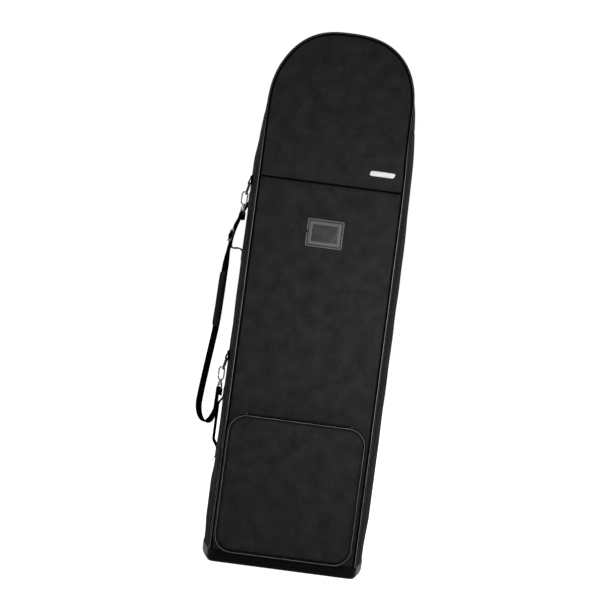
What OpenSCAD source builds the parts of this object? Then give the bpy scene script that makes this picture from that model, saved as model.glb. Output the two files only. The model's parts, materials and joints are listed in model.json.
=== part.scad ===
// Golf travel case: a soft zipped cover that stands on a moulded boot and rolls on two rear wheels.
// Origin at the middle of the boot's underside, front towards -Y, +Z up.

/* [Case] */
// Height of the front panel's top edge above the floor
case_h = 1270; // [1150:10:1350]
// Width of the front panel across its piping
panel_w = 343; // [310:1:380]
// Depth from the front panel to the back panel
case_d = 280; // [250:5:320]
// Height of the arched top
arch_h = 195; // [160:5:230]
// Squareness of the arch, where 2 is an ellipse
arch_power = 2.5; // [2:0.1:3]
// How far the sides swell at mid depth
side_bulge = 22; // [14:1:28]
// How far the crown swells at mid depth
crown_bulge = 6; // [3:1:12]
// Thickness of the padded gusset
gusset_wall = 6; // [4:0.5:9]
// Thickness of the back panel
back_wall = 8; // [5:0.5:12]
// Thickness of the padded inner liner at the crown
crown_pad_t = 18; // [10:1:24]

/* [Front flap] */
// Thickness of the lower panel
panel_t = 8; // [5:0.5:12]
// How far the padded hood stands proud of the lower panel
hood_rise = 2; // [1:0.5:4]
// Height of the seam between the hood and the lower panel
seam_z = 913; // [850:1:960]
// Radius of the piping
piping_r = 3; // [2:0.25:4]
// Distance of the main zip behind the front face
zip_back = 22; // [20:1:26]
// Width of each zip tape
tape_w = 6; // [5:0.5:8]
// Thickness of each zip tape
tape_t = 1.2; // [0.8:0.1:1.6]
// Gap between the two tapes, where the teeth mesh
chain_gap = 2.2; // [1.8:0.1:3]

/* [Boot and wheels] */
// Height of the moulded boot
boot_h = 29.6; // [24:0.2:36]
// Wall of the boot
boot_wall = 5; // [3:0.5:7]
// Radius of the boot's corners in plan
boot_corner = 20; // [16:1:26]
// Thickness of the stiff base board
board_t = 4; // [3:0.5:6]
// Radius of a wheel
wheel_r = 32.5; // [28:0.5:34]
// Width of a wheel
wheel_w = 24; // [18:1:28]
// Distance of each wheel's middle inside the edge of the front panel
wheel_in = 23.5; // [20:0.5:31]
// How far the wheels stand out behind the back panel
wheel_proud = 7.5; // [4:0.5:10]
// Running gap between the tyre and its housing
wheel_gap = 3; // [2:0.5:4]
// Radius of the axle bolt
axle_r = 4; // [3:0.5:5]

/* [Pocket] */
// Distance from the middle of the left piping to the pocket's front face
pocket_left = 9.5; // [9:0.5:20]
// Distance from the middle of the right piping to the pocket's front face
pocket_right = 15.5; // [9:0.5:30]
// Height of the pocket's front face
pocket_h = 319; // [260:1:360]
// How far the pocket stands out
pocket_d = 24; // [16:1:25]
// How much the pocket's sides flare towards the panel
pocket_flare = 5; // [3:0.5:5]
// Radius of the pocket's corners
pocket_corner = 40; // [25:1:50]
// Radius of the pocket's piping
pocket_piping_r = 2.6; // [1.5:0.1:2.8]
// Thickness of the pocket's cloth and foam
pocket_wall = 3; // [2:0.5:4]

/* [Card window] */
// Height of the card window's middle
card_z = 796; // [700:1:850]
// Width of the window's frame
card_w = 87; // [70:1:110]
// Height of the window's frame
card_h = 66; // [50:1:80]
// Width of the frame's border
card_border = 13; // [9:0.5:16]

/* [Straps] */
// Width of the shoulder strap
strap_w = 36; // [30:1:40]
// Thickness of the shoulder strap
strap_t = 2.2; // [1.6:0.1:2.6]
// Distance of the rings in front of the case's middle
ring_forward = 60; // [50:1:70]
// Distance of the hooks' hanging line outside the case's side
hook_out = 13.3; // [12:0.1:18]
// Height of the upper ring's bar
ring_z = 898; // [880:1:905]
// Height from the lower ring's bar to the upper one's
ring_span = 424; // [410:1:440]
// Radius of the ring and hook wire
wire_r = 1.9; // [1.6:0.1:2.1]
// Width of the side handles
handle_w = 30; // [24:1:36]
// Length of the upper side handle with its sewn ends
upper_handle_l = 168; // [150:2:180]
// Length of the lower side handle with its sewn ends
lower_handle_l = 176; // [140:2:200]
// How far the lower side handle stands off the case
handle_out = 12; // [8:1:16]
// How far the upper side handle hangs out from the case
droop_out = 32; // [20:1:36]

/* [Hidden] */
$fn = 48;

fit = 0.3;                 // gap between soft or moulded pieces that seat on each other
half_w = panel_w / 2;
half_d = case_d / 2;
wheel_x = half_w - wheel_in;
pocket_w = panel_w - pocket_left - pocket_right;
front_y = -half_d;
arch_z = case_h - arch_h;
swell_low = arch_z - 115;  // the side swell starts to fade here
swell_high = arch_z + 125; // and has faded to the crown's here
flap_z = boot_h + 2 * fit; // bottom of everything on the flap
hinge_z = boot_h + 0.4;    // the flap's sewn hinge line
edge_inset = piping_r + fit;
piping_y = half_d - 2;     // middle of the piping in the depth
zip_y = front_y + zip_back;
tape_edge = chain_gap / 2;
coil_t = 1.5;              // height of the coil on the inside of a tape
coil_w = 1.8;
strip_wall = 3;            // gusset strip between the front piping and the zip

function unit(v) = v / norm(v);
function ease(t) = let (u = min(1, max(0, t))) u * u * (3 - 2 * u);
function signed_pow(v, p) = sign(v) * pow(abs(v), p);
function bulge_at(z) = side_bulge
    + (crown_bulge - side_bulge) * ease((z - swell_low) / (swell_high - swell_low));
function swell(y, bulge) = bulge * max(0, sin(180 * (y + half_d) / case_d));
function slope(y) = side_bulge * cos(180 * (y + half_d) / case_d) * PI / case_d;
function side_x(y) = half_w + swell(y, side_bulge);

// A station of the case's outline: x, z and the outward normal in the front view.
function arch_station(t) = let (c = cos(t), s = sin(t), k = 2 - 2 / arch_power,
        n = unit([signed_pow(c, k) / half_w, signed_pow(s, k) / arch_h]))
    [half_w * signed_pow(c, 2 / arch_power), arch_z + arch_h * signed_pow(s, 2 / arch_power),
     n[0], n[1]];
arch = [for (t = [0:7.5:180]) arch_station(t)];
function rise(z0) = [z0, swell_low, swell_low + 40, swell_low + 80];
function outline(z0) = concat([for (z = rise(z0)) [half_w, z, 1, 0]], arch,
    [for (i = [3:-1:0]) [-half_w, rise(z0)[i], -1, 0]]);
function at(st, y, out) = [st[0] + st[2] * out, y, st[1] + st[3] * out];
function flat_outline(z0, inset) =
    [for (st = outline(z0)) [st[0] - st[2] * inset, st[1] - st[3] * inset]];

// Section of a strip of the gusset from y0 to y1, its skin following the swell.
function strip_ring(st, y0, y1, wall, steps) = let (b = bulge_at(st[1]),
        ys = [for (i = [0:steps]) y0 + (y1 - y0) * i / steps])
    concat([for (y = ys) at(st, y, swell(y, b))],
           [for (i = [steps:-1:0]) at(st, ys[i], swell(ys[i], b) - wall)]);
function tube_ring(st, y, out, r, sides) =
    [for (i = [0:sides - 1]) at(st, y + r * sin(360 * i / sides), out + r * cos(360 * i / sides))];
// Section of a zip tape: a flat tape with the coil under its meeting edge.
function tape_ring(st, y0, y1) = let (b = bulge_at(st[1]), d = sign(y1 - y0),
        skin = function (y) swell(y, b) - 0.2)
    [at(st, y0, skin(y0)), at(st, y1, skin(y1)), at(st, y1, skin(y1) - tape_t),
     at(st, y0 + d * coil_w, skin(y0) - tape_t), at(st, y0 + d * coil_w, skin(y0) - tape_t - coil_t),
     at(st, y0, skin(y0) - tape_t - coil_t)];

// Smooth curve through hand-placed points, k steps to a span.
function curve(p, k) = let (n = len(p)) concat([for (i = [0:n - 2]) for (j = [0:k - 1])
    let (t = j / k, a = p[max(0, i - 1)], b = p[i], c = p[i + 1], d = p[min(n - 1, i + 2)])
    0.5 * (2 * b + (c - a) * t + (2 * a - 5 * b + 4 * c - d) * t * t
           + (3 * b - 3 * c + d - a) * t * t * t)], [p[n - 1]]);
function six_volumes(p, faces) =
    [for (f = faces) for (k = [1:len(f) - 2]) p[f[0]] * cross(p[f[k]], p[f[k + 1]])];

// A solid skinned over rings of equal length, with flat ends, or closed into a loop.
module loft(rings, loop = false) {
    n = len(rings[0]);
    m = len(rings);
    points = [for (r = rings) each r];
    sides = [for (i = [0:m - (loop ? 1 : 2)]) for (j = [0:n - 1])
        let (k = (j + 1) % n, u = ((i + 1) % m) * n)
        each [[i * n + j, i * n + k, u + k], [i * n + j, u + k, u + j]]];
    caps = loop ? [] : [[for (j = [n - 1:-1:0]) j], [for (j = [0:n - 1]) (m - 1) * n + j]];
    faces = concat(sides, caps);
    parts = six_volumes(points, faces);
    inside_out = parts * [for (v = parts) 1] > 0;
    polyhedron(points, inside_out ? [for (f = faces) [for (k = [len(f) - 1:-1:0]) f[k]]] : faces,
        convexity = 10);
}

// Flat webbing along a path, w being the direction of its width, one for all or one for each point.
module webbing(path, w, width, thick) {
    last = len(path) - 1;
    loft([for (i = [0:last])
        let (t = unit(path[min(last, i + 1)] - path[max(0, i - 1)]), d = is_list(w[0]) ? w[i] : w,
             a = unit(d) * width / 2, b = unit(cross(t, d)) * thick / 2, p = path[i])
        [p + a + b, p - a + b, p - a - b, p + a - b]]);
}

// A strip of the gusset in three lengths that meet at the foot of the arch: two sides and a crown.
module gusset(z0, y0, y1, wall, steps) {
    side = [for (z = concat(rise(z0), [arch_z - fit])) [half_w, z, 1, 0]];
    for (s = [0, 1]) mirror([s, 0, 0])
        loft([for (st = side) strip_ring(st, y0, y1, wall, steps)]);
    loft([for (st = arch) strip_ring(st, y0, y1, wall, steps)]);
}

module rounded_rect(w, h, r) {
    offset_w = w / 2 - r;
    offset_h = h / 2 - r;
    square([w, 2 * offset_h], center = true);
    square([2 * offset_w, h], center = true);
    for (sx = [-1, 1], sy = [-1, 1]) translate([sx * offset_w, sy * offset_h]) circle(r = r);
}

// Draws a 2-D outline of x and z as a plate from y0 back to y1.
module plate(y0, y1) {
    translate([0, y1, 0]) rotate([90, 0, 0]) linear_extrude(y1 - y0) children();
}

module bar_y(p, length, r) {
    translate([p[0], p[1] + length / 2, p[2]]) rotate([90, 0, 0]) cylinder(r = r, h = length);
}

// ---- Boot, base board and wheels ----

boot_lip = 1.5;            // the boot stands this far outside the gusset
boot_front = half_d - 0.5;
housing_x = wheel_x - wheel_w / 2 - wheel_gap - 21;
slot_r = wheel_r + wheel_gap;
wheel_z = wheel_r + 1.5;
wheel_y = half_d + wheel_proud - wheel_r;
housing_y = wheel_y - slot_r - 4;
housing_h = wheel_z + slot_r + 6;
housing_lift = 2;
axle_wall = 9;             // housing between the wheel and the bolt's head
bearing_inset = 2.5;       // the hub and its bearings end this far inside the tyre's sides

// The boot's plan, drawn in by an inset: sides that swell like the gusset, and round corners.
function boot_plan(inset) = let (r = boot_corner - inset, yc = boot_front - boot_corner,
        xc = side_x(yc) + boot_lip - boot_corner, corner = [for (a = [0:15:90]) a],
        side = [for (i = [-4:4]) yc * i / 4.5])
    concat([for (a = corner) [-xc - r * sin(a), -yc - r * cos(a)]],
           [for (y = side) [-side_x(y) - boot_lip + inset, y]],
           [for (a = corner) [-xc - r * cos(a), yc + r * sin(a)]],
           [for (a = corner) [xc + r * sin(a), yc + r * cos(a)]],
           [for (y = side) [side_x(y) + boot_lip - inset, -y]],
           [for (a = corner) [xc + r * cos(a), -yc - r * sin(a)]]);
function boot_ring(inset, z) = [for (p = boot_plan(inset)) [p[0], p[1], z]];

module wheel_bays(gap) {
    for (s = [0, 1]) mirror([s, 0, 0])
        translate([housing_x - gap, housing_y - gap, -1]) cube([200, 200, housing_h + gap + 1]);
}

module base_boot() {
    color("#141416") difference() {
        loft([boot_ring(9, 0), boot_ring(3.5, 2.4), boot_ring(0, 9), boot_ring(0, boot_h - 2),
              boot_ring(1, boot_h), boot_ring(boot_wall, boot_h), boot_ring(boot_wall, boot_wall)]);
        wheel_bays(fit);
    }
}

module base_board() {
    color("#2a2a2c") difference() {
        translate([0, 0, boot_wall + fit]) linear_extrude(board_t) polygon(boot_plan(boot_wall + 1));
        wheel_bays(fit);
    }
}

module wheel_housing() {
    recess = wheel_w / 2 + wheel_gap + axle_wall;
    color("#1b1b1d") difference() {
        intersection() {
            translate([0, 0, housing_lift]) linear_extrude(housing_h - housing_lift)
                polygon(boot_plan(0));
            translate([housing_x, housing_y, 0]) cube([200, 200, housing_h]);
        }
        wheel_place() {
            cylinder(r = slot_r, h = wheel_w + 2 * wheel_gap, center = true, $fn = 96);
            cylinder(r = axle_r + 0.05, h = 200, center = true);
            translate([0, 0, recess]) cylinder(r = 8.5, h = 60);
            translate([0, 0, -recess - 60]) cylinder(r = 8.5, h = 60);
        }
        // A groove round the two outer faces takes the edge of the gusset's cloth.
        translate([housing_x - 1, boot_front - 2, housing_h - 8]) cube([100, 10, 2.5]);
    }
}

module axle() {
    grip = wheel_w / 2 + wheel_gap + axle_wall + fit;
    spacer = wheel_gap + bearing_inset - 0.4;
    color("silver") wheel_place() {
        cylinder(r = axle_r, h = 2 * grip + 2, center = true);
        translate([0, 0, grip]) difference() {
            cylinder(r = 7, h = 4.6);
            translate([0, 0, 2]) cylinder(r = 4.4, h = 4, $fn = 6);
        }
        translate([0, 0, -grip - 5]) cylinder(r = 7, h = 5, $fn = 6);
        for (s = [-1, 1]) translate([0, 0, s * (wheel_w / 2 + wheel_gap - 0.1 - spacer / 2)])
            cylinder(r = 5.6, h = spacer, center = true);
    }
}

hub_r = 20;
bearing_r = 11;
bearing_w = 7;
hub_half = wheel_w / 2 - bearing_inset;

module wheel_place() {
    translate([wheel_x, wheel_y, wheel_z]) rotate([0, 90, 0]) children();
}

module tyre() {
    half = wheel_w / 2;
    color("#3b3b3e") wheel_place() rotate_extrude($fn = 96) polygon(concat(
        [[hub_r, -hub_half], [hub_r + 3, -half]],
        [for (a = [-80:16:80]) [wheel_r - 9 + 9 * cos(a), (half - 0.2) * sin(a)]],
        [[hub_r + 3, half], [hub_r, hub_half]]));
}

module hub() {
    color("#8d8f92") wheel_place() difference() {
        cylinder(r = hub_r - 0.02, h = 2 * hub_half, center = true);
        for (s = [-1, 1]) translate([0, 0, s * (hub_half - bearing_w / 2 + 0.5)])
            cylinder(r = bearing_r + 0.02, h = bearing_w + 1, center = true);
        cylinder(r = 6.5, h = 60, center = true);
        for (i = [0:4], s = [-1, 1]) rotate([0, 0, 72 * i]) translate([15.6, 0, s * hub_half])
            cylinder(r = 2.6, h = 8, center = true);
    }
}

module bearings() {
    color("#c9ccd0") wheel_place() for (s = [-1, 1])
        translate([0, 0, s * (hub_half - bearing_w / 2)])
        difference() {
            cylinder(r = bearing_r, h = bearing_w, center = true);
            cylinder(r = axle_r + 0.05, h = bearing_w + 2, center = true);
            for (e = [-1, 1]) translate([0, 0, e * bearing_w / 2]) difference() {
                cylinder(r = 9, h = 1, center = true);
                cylinder(r = 6, h = 2, center = true);
            }
        }
}

// ---- Case shell ----

module case_gusset() {
    color("#202022") difference() {
        gusset(boot_h + fit, zip_y + tape_edge + tape_w + fit, piping_y - edge_inset, gusset_wall, 8);
        wheel_bays(fit);
    }
}

module back_panel() {
    color("#1c1c1e") difference() {
        plate(half_d - back_wall, half_d) polygon(flat_outline(boot_h + fit, gusset_wall + fit));
        wheel_bays(fit);
    }
}

module piping(y, z0) {
    color("#0e0e10") loft([for (st = outline(z0)) tube_ring(st, y, 0, piping_r, 8)]);
}

module rear_piping() piping(piping_y, housing_h + fit);

module zip_tape_case() {
    edge = zip_y + tape_edge;
    color("#101012") loft([for (st = outline(boot_h + fit)) tape_ring(st, edge, edge + tape_w)]);
}

module crown_pad() {
    reach = [for (t = [15:7.5:165]) arch_station(t)];
    rear_y = half_d - back_wall - 4;
    top = gusset_wall + fit - swell(rear_y, crown_bulge);
    color("#303033") plate(zip_y + 14, rear_y) polygon(concat(
        [for (st = reach) [st[0] - st[2] * top, st[1] - st[3] * top]],
        [for (i = [len(reach) - 1:-1:0]) let (st = reach[i], d = top + crown_pad_t)
            [st[0] - st[2] * d, st[1] - st[3] * d]]));
}

rail_x = 62;
rail_r = 8;
rail_low = 96;
rail_high = 440;
rivet_r = 4;
rivet_zs = [for (i = [0:3]) rail_low + 14 + (rail_high - rail_low - 28) * i / 3];

module skid_rails() {
    color("#161618") for (s = [-1, 1]) difference() {
        translate([s * rail_x, half_d + fit, rail_low]) {
            cylinder(r = rail_r, h = rail_high - rail_low);
            sphere(r = rail_r);
            translate([0, 0, rail_high - rail_low]) sphere(r = rail_r);
        }
        translate([s * rail_x - 50, half_d + fit - 100, 0]) cube([100, 100, 2000]);
        for (z = rivet_zs) translate([s * rail_x, half_d + fit + rail_r - 3, z])
            rotate([-90, 0, 0]) cylinder(r = rivet_r + fit, h = 20);
    }
}

module rail_rivets() {
    color("silver") for (s = [-1, 1], z = rivet_zs)
        translate([s * rail_x, half_d + rail_r - 3 + 2 * fit, z]) rotate([-90, 0, 0]) {
            cylinder(r = rivet_r, h = 1.2);
            translate([0, 0, 1.2]) cylinder(r1 = rivet_r, r2 = rivet_r - 1.4, h = 1);
        }
}

// ---- Straps inside the case ----

inner_strap_w = 38;
inner_strap_t = 2;
inner_y = half_d - back_wall - fit; // the straps lie against the back panel
inner_zs = [420, 800];
inner_reach = half_w - 33.5;
buckle_x = 0;
buckle_w = 44;
buckle_t = 11;
buckle_len = 34;
socket_w = 34;
socket_t = 5.4;

module interior_straps() {
    color("#19191b") for (z = inner_zs) translate([0, inner_y - inner_strap_t, z - inner_strap_w / 2]) {
        translate([-inner_reach, 0, 0]) cube([inner_reach - 42, inner_strap_t, inner_strap_w]);
        translate([48, 0, 0]) cube([inner_reach - 48, inner_strap_t, inner_strap_w]);
    }
}

module buckle_place(z) {
    translate([buckle_x, inner_y - buckle_t / 2, z]) rotate([90, 0, 0]) children();
}

module buckle_female(z) {
    bar = buckle_w / 2 - 3;
    color("#0f0f11") buckle_place(z) difference() {
        union() {
            linear_extrude(buckle_t - 1, center = true) translate([-buckle_len / 2, 0])
                rounded_rect(buckle_len, buckle_w, 5);
            linear_extrude(4, center = true) translate([-buckle_len - 3, 0])
                rounded_rect(14, buckle_w, 4);
        }
        translate([-buckle_len + 4, -socket_w / 2, -socket_t / 2]) cube([60, socket_w, socket_t]);
        for (s = [-1, 1]) translate([-20, s * (buckle_w / 2) - 6, -socket_t / 2])
            cube([13, 12, socket_t]);
        translate([-buckle_len - 7, -bar + 1, -5]) cube([5, 2 * bar - 2, 10]);
    }
}

module buckle_male(z) {
    prong_t = socket_t - 2 * fit;
    color("#0f0f11") buckle_place(z) {
        linear_extrude(prong_t, center = true) {
            translate([fit + 0.4, -socket_w / 2]) square([9, socket_w]);
            translate([-24, -2.5]) square([26, 5]);
            for (s = [-1, 1]) scale([1, s]) polygon([[2, 9], [2, 13], [-9, 15.5], [-18, 15.5],
                [-25, 10], [-18, 10.5], [-10, 11]]);
        }
        difference() {
            linear_extrude(6, center = true) translate([12, 0]) rounded_rect(14, buckle_w, 4);
            translate([11, -19, -5]) cube([4, 38, 10]);
        }
    }
}

// ---- Rings, snap hooks and the shoulder strap ----

ring_y = -ring_forward;
ring_r = 15;
ring_leg = 13;
tab_w = 2 * (ring_r - wire_r - 2 * fit);
tab_t = 2;
wall_x = side_x(ring_y);
hook_x = wall_x + hook_out;
lower_ring_z = ring_z - ring_span;
tab_x = wall_x + fit + 0.4 + tab_t / 2;
fold_r = wire_r + fit + tab_t / 2;
bar_x = tab_x + fold_r;
crossing = 2.2;            // the ring hangs this far inside the hook's line
ring_tilt = asin((hook_x - crossing - bar_x) / (ring_r + ring_leg));
hook_r = 6.5;
hook_drop = cos(ring_tilt) * (ring_r + ring_leg) + 0.9;
hook_leg = 18;
collar_h = 5;
shank_r = 1.8;
eye_h = 6.4;
eye_bar = 46;              // the strap's bar hangs this far below the hook's centre
eye_t = 1.8;
eye_turn = 15;             // the eyes are turned this much to the case's side
strap_turn = 27;           // and the webbing this much, between its twists
function across(turn) = [sin(turn), -cos(turn), 0];
strap_dir = across(strap_turn);

// The tab and ring lie square to the swell of the side, turned about the hook's crossing.
module ring_place(z) {
    cross_x = hook_x - crossing;
    translate([-cross_x, ring_y, z]) rotate([0, 0, atan(slope(ring_y))])
        translate([cross_x, 0, 0]) children();
}

module ring_tab(z) {
    out = tab_x + tab_t + fit;
    color("#1a1a1c") ring_place(z) webbing([for (p = concat(
            [[tab_x, 20], [tab_x, 8], [tab_x, 2]],
            [for (a = [0:-30:-180]) [bar_x - fold_r * cos(a), fold_r * sin(a)]],
            [[out + 3, 6], [out, 12], [out, 18]])) [-p[0], 0, p[1]]], [0, 1, 0], tab_w, tab_t);
}

module d_ring(z) {
    color("silver") ring_place(z) translate([-bar_x, 0, 0]) rotate([0, ring_tilt, 0]) {
        bar_y([0, 0, 0], 2 * ring_r, wire_r);
        for (s = [-1, 1]) translate([0, s * ring_r, -ring_leg]) {
            cylinder(r = wire_r, h = ring_leg);
            translate([0, 0, ring_leg]) sphere(r = wire_r);
        }
        translate([0, 0, -ring_leg]) rotate([0, 90, 0]) rotate([0, 0, -90])
            rotate_extrude(angle = 180) translate([ring_r, 0]) circle(r = wire_r);
    }
}

module hook_place(z) {
    translate([-hook_x, ring_y, z - hook_drop]) children();
}

module bend(angle, turn) {
    rotate([90, 0, 0]) rotate([0, 0, turn]) rotate_extrude(angle = angle)
        translate([hook_r, 0]) circle(r = wire_r);
}

gate_low = hook_leg - 4;
gate_r = 1.7;
nose = 3;

module snap_hook(z) {
    color("silver") hook_place(z) {
        bend(180, 0);
        translate([0, 0, -hook_leg]) bend(180, 180);
        translate([hook_r, 0, -hook_leg]) cylinder(r = wire_r, h = hook_leg);
        translate([-hook_r, 0, -nose]) cylinder(r = wire_r, h = nose);
        translate([-hook_r, 0, -hook_leg]) cylinder(r = wire_r, h = 2);
        translate([0, 0, -hook_leg - hook_r - collar_h]) cylinder(r = 4, h = collar_h);
        translate([0, 0, -hook_leg - hook_r - collar_h - eye_h - 0.6])
            cylinder(r = shank_r, h = eye_h + 1);
        translate([0, 0, -hook_leg - hook_r - collar_h - eye_h - 2.4]) cylinder(r = 3.4, h = 1.8);
    }
}

module snap_gate(z) {
    color("#b8bbc0") hook_place(z) translate([-hook_r, 0, -gate_low]) {
        bar_y([0, 0, 0], 2 * gate_r, gate_r);
        cylinder(r = gate_r, h = gate_low - nose - fit);
    }
}

// The swivel eye: a stamped bow on the hook's shank, with a round bar for the strap.
module swivel_eye(z) {
    top = -hook_leg - hook_r - collar_h - fit;
    half = strap_w / 2 + 0.6 + eye_t;
    bow = top - 2.4 + eye_bar;
    color("silver") hook_place(z) difference() {
        rotate([0, 0, eye_turn]) {
            translate([0, 0, top - eye_h + fit]) cylinder(r = 4.4, h = eye_h - fit);
            rotate([90, 0, 90]) linear_extrude(2 * wire_r, center = true) difference() {
                translate([0, bow / 2 - eye_bar]) rounded_rect(2 * half, bow + 2 * wire_r, 3);
                translate([0, bow / 2 - eye_bar - 5]) rounded_rect(2 * (half - eye_t), bow + 2, 1.5);
            }
            bar_y([0, 0, -eye_bar], 2 * half, wire_r);
        }
        translate([0, 0, -60]) cylinder(r = shank_r + 0.06, h = 80);
    }
}

strap_fold = wire_r + fit + strap_t / 2;
upper_bar = ring_z - hook_drop - eye_bar;
lower_bar = upper_bar - ring_span;
// The strap hangs in the plane of the rings. Each point is its distance outside the case's side
// and how far it is below the upper ring, and in the bight below the lower ring.
strap_fall = [[25.3, 102], [34.3, 158], [37.3, 208], [38.3, 278], [40.3, 343]];
strap_bight = [[45.3, -26], [51.3, 34], [56.3, 89], [57.3, 122], [50.3, 146], [37.3, 158],
    [24.3, 148], [17.3, 124]];
function below(z, p) = [wall_x + p[0], z - p[1]];
fold_x = strap_fold / cos(eye_turn); // the bar lies across the strap, so the fold is wider in x
function fold(bar, from, to) =
    [for (a = [from:(to - from) / 6:to]) [hook_x + fold_x * cos(a), bar + strap_fold * sin(a)]];
strap_route = concat([[hook_x - fold_x, upper_bar - 16]],
    fold(upper_bar, 180, 0), [[hook_x + fold_x + 1.2, upper_bar - 10]],
    curve(concat([for (p = strap_fall) below(ring_z, p)],
                 [for (p = strap_bight) below(lower_ring_z, p)]), 3),
    [[hook_x + fold_x, lower_bar - 12]],
    fold(lower_bar, 0, 180), [[hook_x - fold_x, lower_bar - 16]]);
function strap_point(p) = [-p[0], ring_y, p[1]];
// The webbing twists between the fold at each bar and the stretch that hangs free.
route_end = len(strap_route) - 1;
strap_across = [for (i = [0:route_end])
    across(eye_turn + (strap_turn - eye_turn) * ease(min((i - 12) / 3, (route_end - 9 - i) / 4)))];

module shoulder_strap() {
    color("#121214") webbing([for (p = strap_route) strap_point(p)], strap_across,
        strap_w, strap_t);
}

// The pad's reach along the strap, in the same terms.
pad_points = [[37.6, 218], [38.1, 263], [38.9, 308], [40.9, 351]];
pad_reach = curve([for (p = pad_points) below(ring_z, p)], 3);
pad_t = 7;

module shoulder_pad() {
    last = len(pad_reach) - 1;
    w = strap_dir * (strap_w / 2 + 3);
    gap = strap_t / 2 + 0.25;
    color("#1d1d20") loft([for (i = [0:last])
        let (p = strap_point(pad_reach[i]),
             t = unit(strap_point(pad_reach[min(last, i + 1)]) - strap_point(pad_reach[max(0, i - 1)])),
             n = unit(cross(t, strap_dir)), f = 1 - 0.12 * pow(2 * i / last - 1, 4))
        [p + w * 0.9 * f + n * (gap + 0.2), p + w * f + n * (gap + 1.4), p + w * 0.8 * f + n * pad_t,
         p - w * 0.8 * f + n * pad_t, p - w * f + n * (gap + 1.4), p - w * 0.9 * f + n * (gap + 0.2)]]);
}

adjuster_p = [29.9, 130];

module strap_adjuster() {
    // A three-bar slide: the strap runs behind its frame and over its middle bar.
    lean = strap_fall[1] - strap_fall[0];
    tilt = atan2(lean[0], lean[1]);
    color("#0e0e10") translate(strap_point(below(ring_z, adjuster_p))) rotate([0, 0, eye_turn])
        rotate([0, tilt, 0]) translate([-strap_t / 2 - fit - 2, 0, 0]) rotate([0, 90, 0])
        difference() {
            linear_extrude(2.4, center = true) rounded_rect(30, strap_w + 6, 4);
            for (s = [-1, 1]) translate([s * 6.5, 0, 0]) cube([7, strap_w, 10], center = true);
        }
}

// ---- Handles ----

handle_y = 38;
handle_t = 3;
sewn_end = 22;
upper_handle_top = ring_z - 16;
lower_handle_top = lower_ring_z - 74;
tow_out = 24;
tow_l = 124;
tow_top = case_h - 74;

// A handle lies flat over its sewn ends and stands out between them.
function loop_path(low, high, out) = [for (i = [0:24]) let (z = low + (high - low) * i / 24)
    [out * ease((min(z - low, high - z) - sewn_end) / (1.1 * sewn_end)), z]];

// A slack handle hangs out furthest just above its lower end. Each point is its distance out and
// its height, as shares of how far the handle hangs out and of its free length.
droop = [[0, 0], [0.12, 0.035], [0.38, 0.06], [0.68, 0.05], [0.92, 0.055], [1, 0.11], [0.97, 0.24],
    [0.84, 0.42], [0.56, 0.66], [0.26, 0.86], [0.05, 0.97], [0, 1]];
function droop_path(low, high, out) = let (free = high - low - 2 * sewn_end)
    concat([[0, low], [0, low + sewn_end - 3]],
        curve([for (p = droop) [out * p[0], low + sewn_end + free * p[1]]], 3),
        [[0, high - sewn_end + 3], [0, high]]);

module side_handle(path) {
    x0 = side_x(handle_y) + fit + 0.4 + handle_t / 2;
    color("#151517") webbing([for (p = path) [-x0 - p[0], handle_y, p[1]]],
        [-slope(handle_y), 1, 0], handle_w, handle_t);
}

module side_handle_upper() {
    side_handle(droop_path(upper_handle_top - upper_handle_l, upper_handle_top, droop_out));
}

module side_handle_lower() {
    side_handle(loop_path(lower_handle_top - lower_handle_l, lower_handle_top, handle_out));
}

module tow_handle() {
    color("#151517") webbing([for (p = loop_path(tow_top - tow_l, tow_top, tow_out))
        [0, half_d + fit + handle_t / 2 + p[0], p[1]]], [1, 0, 0], handle_w, handle_t);
}

// ---- Front flap ----

module flap_panel(z0, z1, rise) {
    plate(front_y - rise, front_y + panel_t) intersection() {
        polygon(flat_outline(flap_z, edge_inset));
        translate([-half_w, z0]) square([panel_w, z1 - z0]);
    }
}

module flap_panel_lower() color("#1f1f21") flap_panel(flap_z, seam_z, 0);

module flap_panel_hood() color("#1f1f21") flap_panel(seam_z + fit, case_h, hood_rise);

module flap_gusset() {
    color("#1a1a1c")
        gusset(flap_z, -piping_y + edge_inset, zip_y - tape_edge - tape_w - fit, strip_wall, 2);
}

module front_piping() piping(-piping_y, flap_z);

module zip_tape_flap() {
    edge = zip_y - tape_edge;
    color("#101012") loft([for (st = outline(flap_z)) tape_ring(st, edge, edge - tape_w)]);
}

// ---- Main zip sliders ----

slider_l = 14;
slider_w = 9;
slider_t = 1.6;
slider_low = 243;
slider_gap = 0.6;
slider_high = slider_low + slider_l + slider_gap;
plate_x = side_x(zip_y + slider_w / 2) + fit;
inner_x = side_x(zip_y - slider_w / 2) - 0.2 - tape_t - coil_t - fit;
pull_axis = plate_x + slider_t + 1.8;
pull_l = 28;
pull_w = 8;
pull_t = 1.6;
bridge_out = plate_x + slider_t + 4.7;
upper_tilt = asin((bridge_out - pull_axis + fit + pull_t / 2) / (slider_l + slider_gap - 6));

module slider_place(z) {
    translate([0, zip_y, z]) mirror([1, 0, 0]) children();
}

module main_slider(z) {
    color("silver") slider_place(z) {
        for (x = [plate_x, inner_x - slider_t]) translate([x, 0, 0]) rotate([90, 0, 90])
            linear_extrude(slider_t) rounded_rect(slider_w, slider_l, 3);
        translate([inner_x - 0.5, -chain_gap / 2 + fit, -2])
            cube([plate_x - inner_x + 1, chain_gap - 2 * fit, 4]);
        translate([plate_x + 0.8, -1.2, 0]) rotate([-90, 0, 0]) linear_extrude(2.4) difference() {
            translate([0, -6]) square([bridge_out - plate_x - 0.8, 12]);
            translate([-1, -4.5]) square([bridge_out - plate_x - 1.2, 9]);
        }
    }
}

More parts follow.
